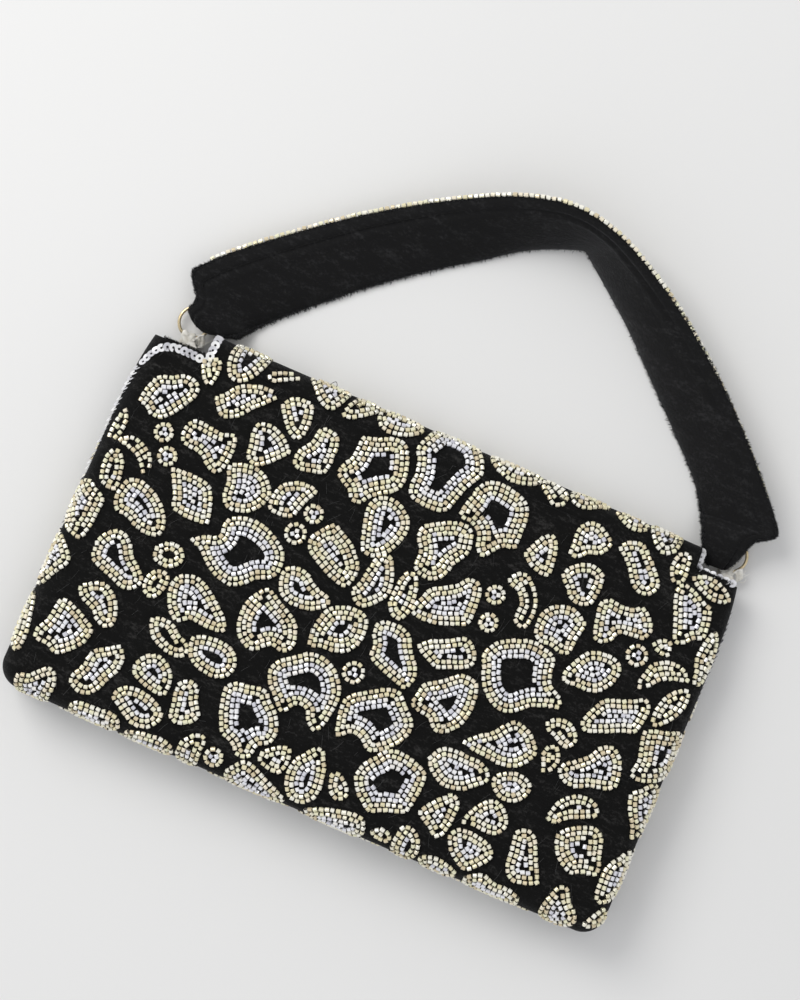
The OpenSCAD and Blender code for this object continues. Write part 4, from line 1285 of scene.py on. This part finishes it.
def strap_motif_beads():
    """Ovals in two staggered rows on the strap's outer face: s, t, angle and colour."""
    beads = []
    for t0, shift in ((0.26, 0.0), (0.7, 0.5)):
        line = strap_line(t0)
        run = np.concatenate([[0], np.cumsum(np.linalg.norm(np.diff(line, axis=0), axis=1))])
        count = int(run[-1] / 15.5)
        for i in range(count):
            d = run[-1] * (i + shift + 0.25) / count
            s0 = float(np.interp(d, run, ALONG))
            if not 0.2 < s0 < 0.86:
                continue
            stretch = float(np.interp(min(d + 4, run[-1]), run, ALONG) - np.interp(d - 4, run, ALONG)) / 8
            outline = oval(0, 0, 6.4, 5.0, 0.5 * math.sin(i * 1.3 + t0), 0.07)
            for x, y, angle, gold in fill_motif(0, outline, 1):
                beads.append((s0 + x * stretch, t0 + y / STRAP_W, angle, gold))
    beads = np.array(beads, float)
    p = strap_at(beads[:, 0], beads[:, 1])
    return beads[p[:, 2] > 1.7]


def on_strap(s, t, angle):
    """Places under the strap, with the direction along a row and the way out of the cloth."""
    a = strap_at(s + 0.002, t) - strap_at(s - 0.002, t)
    b = strap_at(s, t + 0.01) - strap_at(s, t - 0.01)
    out = unit(np.cross(a, b))
    out = out * -np.sign(out[:, 2:])
    a = unit(a)
    b = np.cross(out, a)
    b = b * np.sign((b * (strap_at(s, t + 0.01) - strap_at(s, t))).sum(1, keepdims=True))
    along = a * np.cos(angle)[:, None] + b * np.sin(angle)[:, None]
    return strap_at(s, t) + out * STRAP_BEAD_LIFT, along, out


lay("strap_face_beads", strap_motif_beads(), on_strap, "strap")

# Stitches along the seam, a little below the rim
seam_s = np.linspace(SEAM_FROM, SEAM_TO, STRAP_STEPS)
pts, way = spread(strap_at(seam_s, np.full(STRAP_STEPS, STITCH_T)), STITCH_STEP)
way = unit(way)
lift = strap_normal(way) * (STRAP_T + 0.1)
stitches = [
    tube([p + n - d * 0.95, p + n * 1.05 - d * 0.4, p + n * 1.05 + d * 0.4, p + n + d * 0.95], 0.13, 5)
    for p, d, n in zip(pts, way, lift)
]
make("strap_stitches", *joined(stitches), [THREAD], "velvet", "strap")


def fuzz(name, starts, outs, body, length, mat=VELVET):
    """Loose pile: thin pointed slivers standing out from an edge."""
    count = len(starts)
    outs = unit(outs + rng.normal(0, 0.55, (count, 3)))
    side = unit(np.cross(outs, rng.normal(0, 1, (count, 3))))
    back = np.cross(outs, side)
    r = rng.uniform(0.1, 0.24, (count, 1))
    long = rng.uniform(0.35, 1.0, (count, 1)) * length
    foot = starts - side * r * 0.5
    verts = np.stack([starts + side * r, foot + back * r, foot - back * r, starts + outs * long], 1)
    verts[..., 2] = np.maximum(verts[..., 2], PILE_FLOOR)
    faces = copied_faces([(0, 1, 3), (1, 2, 3), (2, 0, 3), (2, 1, 0)], count, 4)
    return make(name, verts.reshape(-1, 3), faces.tolist(), [mat], "velvet", body)


def edge_starts(line, outs, count, stray=0.3):
    """Places strewn along a line, and the ways out there."""
    at = rng.uniform(0, len(line) - 1, count)
    low = np.floor(at).astype(int)
    share = (at - low)[:, None]
    high = np.minimum(low + 1, len(line) - 1)
    p = line[low] * (1 - share) + line[high] * share
    o = outs[low] * (1 - share) + outs[high] * share
    return p + rng.normal(0, stray, (count, 3)) * (1, 1, 0.6), o


mid_lift = np.array([0, 0, 1.2])
p, o = edge_starts(rim_plan + mid_lift - outward * 0.8, outward, 6500)
fuzz("strap_fuzz_rim", p, o, "strap", 1.4, STRAP_VELVET)
p, o = edge_starts(inner_plan + mid_lift + outward * 0.2, -outward, 8000, 0.4)
fuzz("strap_fuzz_inner", p, o, "strap", 1.9, STRAP_VELVET)
for side, x0, x1 in (("left", -SIDE - 5, FOLD_LEFT), ("right", FOLD_RIGHT, SIDE + 5)):
    line = flap_at(np.linspace(x0, x1, 40), np.full(40, SHOULDER_Y - 0.3), -0.3)
    p, o = edge_starts(line, np.tile([0, 1.0, 0], (40, 1)), 700)
    fuzz("shoulder_fuzz_" + side, p, o, "flap", 1.3)


# ------------------------------------------------- strap loops, ribbons and thread

def strip(path, width, thick, across=(1, 0, 0), rumple=0.0, seed=0):
    """A flat band along a path, with its width across; returns vertices and faces."""
    path = np.asarray(path, float)
    w = np.array(across, float)
    normal = unit(np.cross(unit(np.gradient(path, axis=0)), w))
    k = np.linspace(-0.5, 0.5, 9)
    draw = np.random.default_rng(seed)
    ripple = np.sin(k * draw.uniform(7, 12) + draw.uniform(0, 6))[None] * rumple
    ripple = ripple * np.sin(np.linspace(0, math.pi, len(path)))[:, None]
    grid = path[:, None] + w * (k[None, :, None] * width) + normal[:, None] * ripple[..., None]
    top = grid + normal[:, None] * thick / 2
    low = grid - normal[:, None] * thick / 2
    return np.concatenate([top.reshape(-1, 3), low.reshape(-1, 3)]), shell_parts(top, thick)[1]


def arc(mid_y, mid_z, r, start, end, count, x):
    """Points round an arc in the plane at x, from one angle to another in degrees."""
    t = np.linspace(math.radians(start), math.radians(end), count)
    return [(x, mid_y + r * math.cos(a), mid_z + r * math.sin(a)) for a in t]


def strap_loop(x, y, z):
    """The velvet band that holds the strap's end to its ring."""
    path = [(x, 97, 0.8), (x, 93.5, 0.75), (x, 90.5, 0.8)]
    path += arc(y + RING_R, z, 2.6, -75, -285, 15, x)
    path += [(x, 91, 5.4), (x, 94, 4.4)]
    return strip(catmull(path, 3), 6.6, 0.8, rumple=0.15, seed=3)


def ribbon_tab(x, y, z):
    """The cream ribbon through a ring: its band, its loose end and its frayed threads."""
    tail = [(x, 61, 2.55), (x, 68, 2.5), (x, 72.6, 2.1)]
    tail += arc(y - RING_R, z, 1.75, -110, 110, 13, x)
    tail += [(x + 1.2, 73.6, 5.3), (x + 2.6, 72.2, 5.6)]
    loose = [(x + 1.5, 72.2, 4.2), (x + 3, 75.2, 5.4), (x + 4.4, 77.2, 5.7), (x + 5.6, 76, 5.0),
             (x + 6.6, 73.6, 4.2)]
    parts = [strip(catmull(tail, 3), 5.6, 0.4, rumple=0.3, seed=5),
             strip(catmull(loose, 4), 3.4, 0.3, (0.6, 0.8, 0), rumple=0.5, seed=8)]
    for i in range(30):
        start = np.array([x - 0.6 + i * 0.26, 74.2 + 1.6 * math.sin(i), 5.2])
        reach = rng.normal(0, 1, 3) * (1.4, 1.2, 0.3) + (0.5, 1.8, 0.4)
        mid = start + reach * 0.5 + rng.normal(0, 0.3, 3)
        parts.append(tube(catmull([start, mid, start + reach], 3), 0.09, 4))
    return joined(parts)


for side, ring_mid in RING_MID.items():
    make("strap_loop_velvet_" + side, *strap_loop(*ring_mid), [STRAP_VELVET], "velvet", "strap",
         ["strap_loop_" + side])
    make("ribbon_cream_" + side, *ribbon_tab(*ring_mid), [RIBBON], "ribbon", "bag", ["ribbon_tab_" + side])


def lint(name, count, body):
    """Fine loose fibres lying on the velvet between the motifs."""
    parts = []
    while len(parts) < count:
        u, v = rng.uniform(-122, 122), rng.uniform(-73, 69)
        heading, bend = rng.normal(1.3, 0.35), rng.normal(0, 0.05)
        long = rng.uniform(2, 7)
        turn = heading + bend * np.linspace(0, 1, 7) * 4
        us = u + np.cumsum(np.cos(turn)) * long / 7
        vs = np.minimum(v + np.cumsum(np.sin(turn)) * long / 7, SHOULDER_Y - 1)
        on_velvet = gaps(FLAP_TREE, zip(us, vs)).min() > 1.6
        parts.append(tube(flap_at(us, vs, 0.5 if on_velvet else 1.35), rng.uniform(0.035, 0.06), 4))
    return make(name, *joined(parts), [LINT], "velvet", body)


lint("flap_lint", 420, "flap")
THREADS = {
    "fold": [(-53.5, 78.5, 14), (-53.4, 80.6, 13.5), (-52.2, 82, 12.5), (-51.2, 80.8, 12),
             (-51.6, 79, 12.6)],
    "side": [(-126.6, -29, 14), (-128.3, -30, 13.6), (-129.3, -32, 13), (-128.4, -33.6, 12.4),
             (-126.8, -33, 12)],
    "edge": [(-84, -75.5, 17), (-83.5, -77.5, 16.5), (-82, -78.6, 16), (-80.6, -77.6, 15),
             (-80.8, -76, 15)],
}
for place, path in THREADS.items():
    make("thread_" + place, *tube(catmull(path, 6), 0.12, 6), [THREAD], "velvet", "flap")


# ------------------------------------------------------------- kept CAD hardware

def finish_nodes(names, mat):
    """Gives CAD nodes that stay a better material."""
    for name in names:
        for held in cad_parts[name].material_slots:
            held.material = mat


finish_nodes(("ring_left", "ring_right"), GOLD)
finish_nodes(("snap_socket", "snap_socket_plate", "snap_stud", "snap_stud_plate"), NICKEL)
finish_nodes(("back_board", "front_board", "base_board", "flap_board"), BOARD)


# --------------------------------------------------------- floor, light and camera

def floor():
    """A plain pale floor."""
    mesh = bpy.data.meshes.new("floor")
    mesh.from_pydata([(-3, -3, 0), (3, -3, 0), (3, 3, 0), (-3, 3, 0)], [], [(0, 1, 2, 3)])
    obj = bpy.data.objects.new("floor", mesh)
    bpy.context.scene.collection.objects.link(obj)
    mat = principled("floor_white", (0.82, 0.82, 0.81), 0.6, Specular_IOR_Level=0.2)
    tone = texture(mat, "Noise", 1.2, Detail=2.0)
    ramp_to(mat, tone.outputs["Fac"], "Base Color",
            [(0.3, (0.765, 0.765, 0.755)), (0.7, (0.8, 0.8, 0.79))])
    mesh.materials.append(mat)


def area_light(name, at, size, power, color=(1, 1, 1)):
    """A square light in metres and watts, aimed at the bag."""
    data = bpy.data.lights.new(name, "AREA")
    data.shape = "SQUARE"
    data.size = size
    data.energy = power
    data.color = color
    obj = bpy.data.objects.new(name, data)
    obj.location = at
    obj.rotation_euler = (Vector((0, 0.05, 0)) - Vector(at)).to_track_quat("-Z", "Y").to_euler()
    bpy.context.scene.collection.objects.link(obj)


floor()
area_light("window", (-0.98, 0.6, 1.08), 0.85, 12.8, (1.0, 0.99, 0.97))
area_light("fill", (0.7, -0.5, 1.5), 1.4, 1.2)
world = bpy.data.worlds.new("studio")
world.use_nodes = True
world.node_tree.nodes["Background"].inputs["Color"].default_value = (0.97, 0.975, 1.0, 1)
world.node_tree.nodes["Background"].inputs["Strength"].default_value = 0.69
bpy.context.scene.world = world
bpy.context.scene.view_settings.view_transform = "Standard"

CAMERA_TURN = 23.5
CAMERA_OVER = (-10.6, 49.45)
CAMERA_HEIGHT = 922
CAMERA_LENS = 83.3
SENSOR_WIDTH = 36
camera_data = bpy.data.cameras.new("camera")
camera_data.lens = CAMERA_LENS
camera_data.sensor_width = SENSOR_WIDTH
camera = bpy.data.objects.new("camera", camera_data)
camera.location = (CAMERA_OVER[0] * MM, CAMERA_OVER[1] * MM, CAMERA_HEIGHT * MM)
camera.rotation_euler = (0, 0, math.radians(CAMERA_TURN))
bpy.context.scene.collection.objects.link(camera)
bpy.context.scene.camera = camera
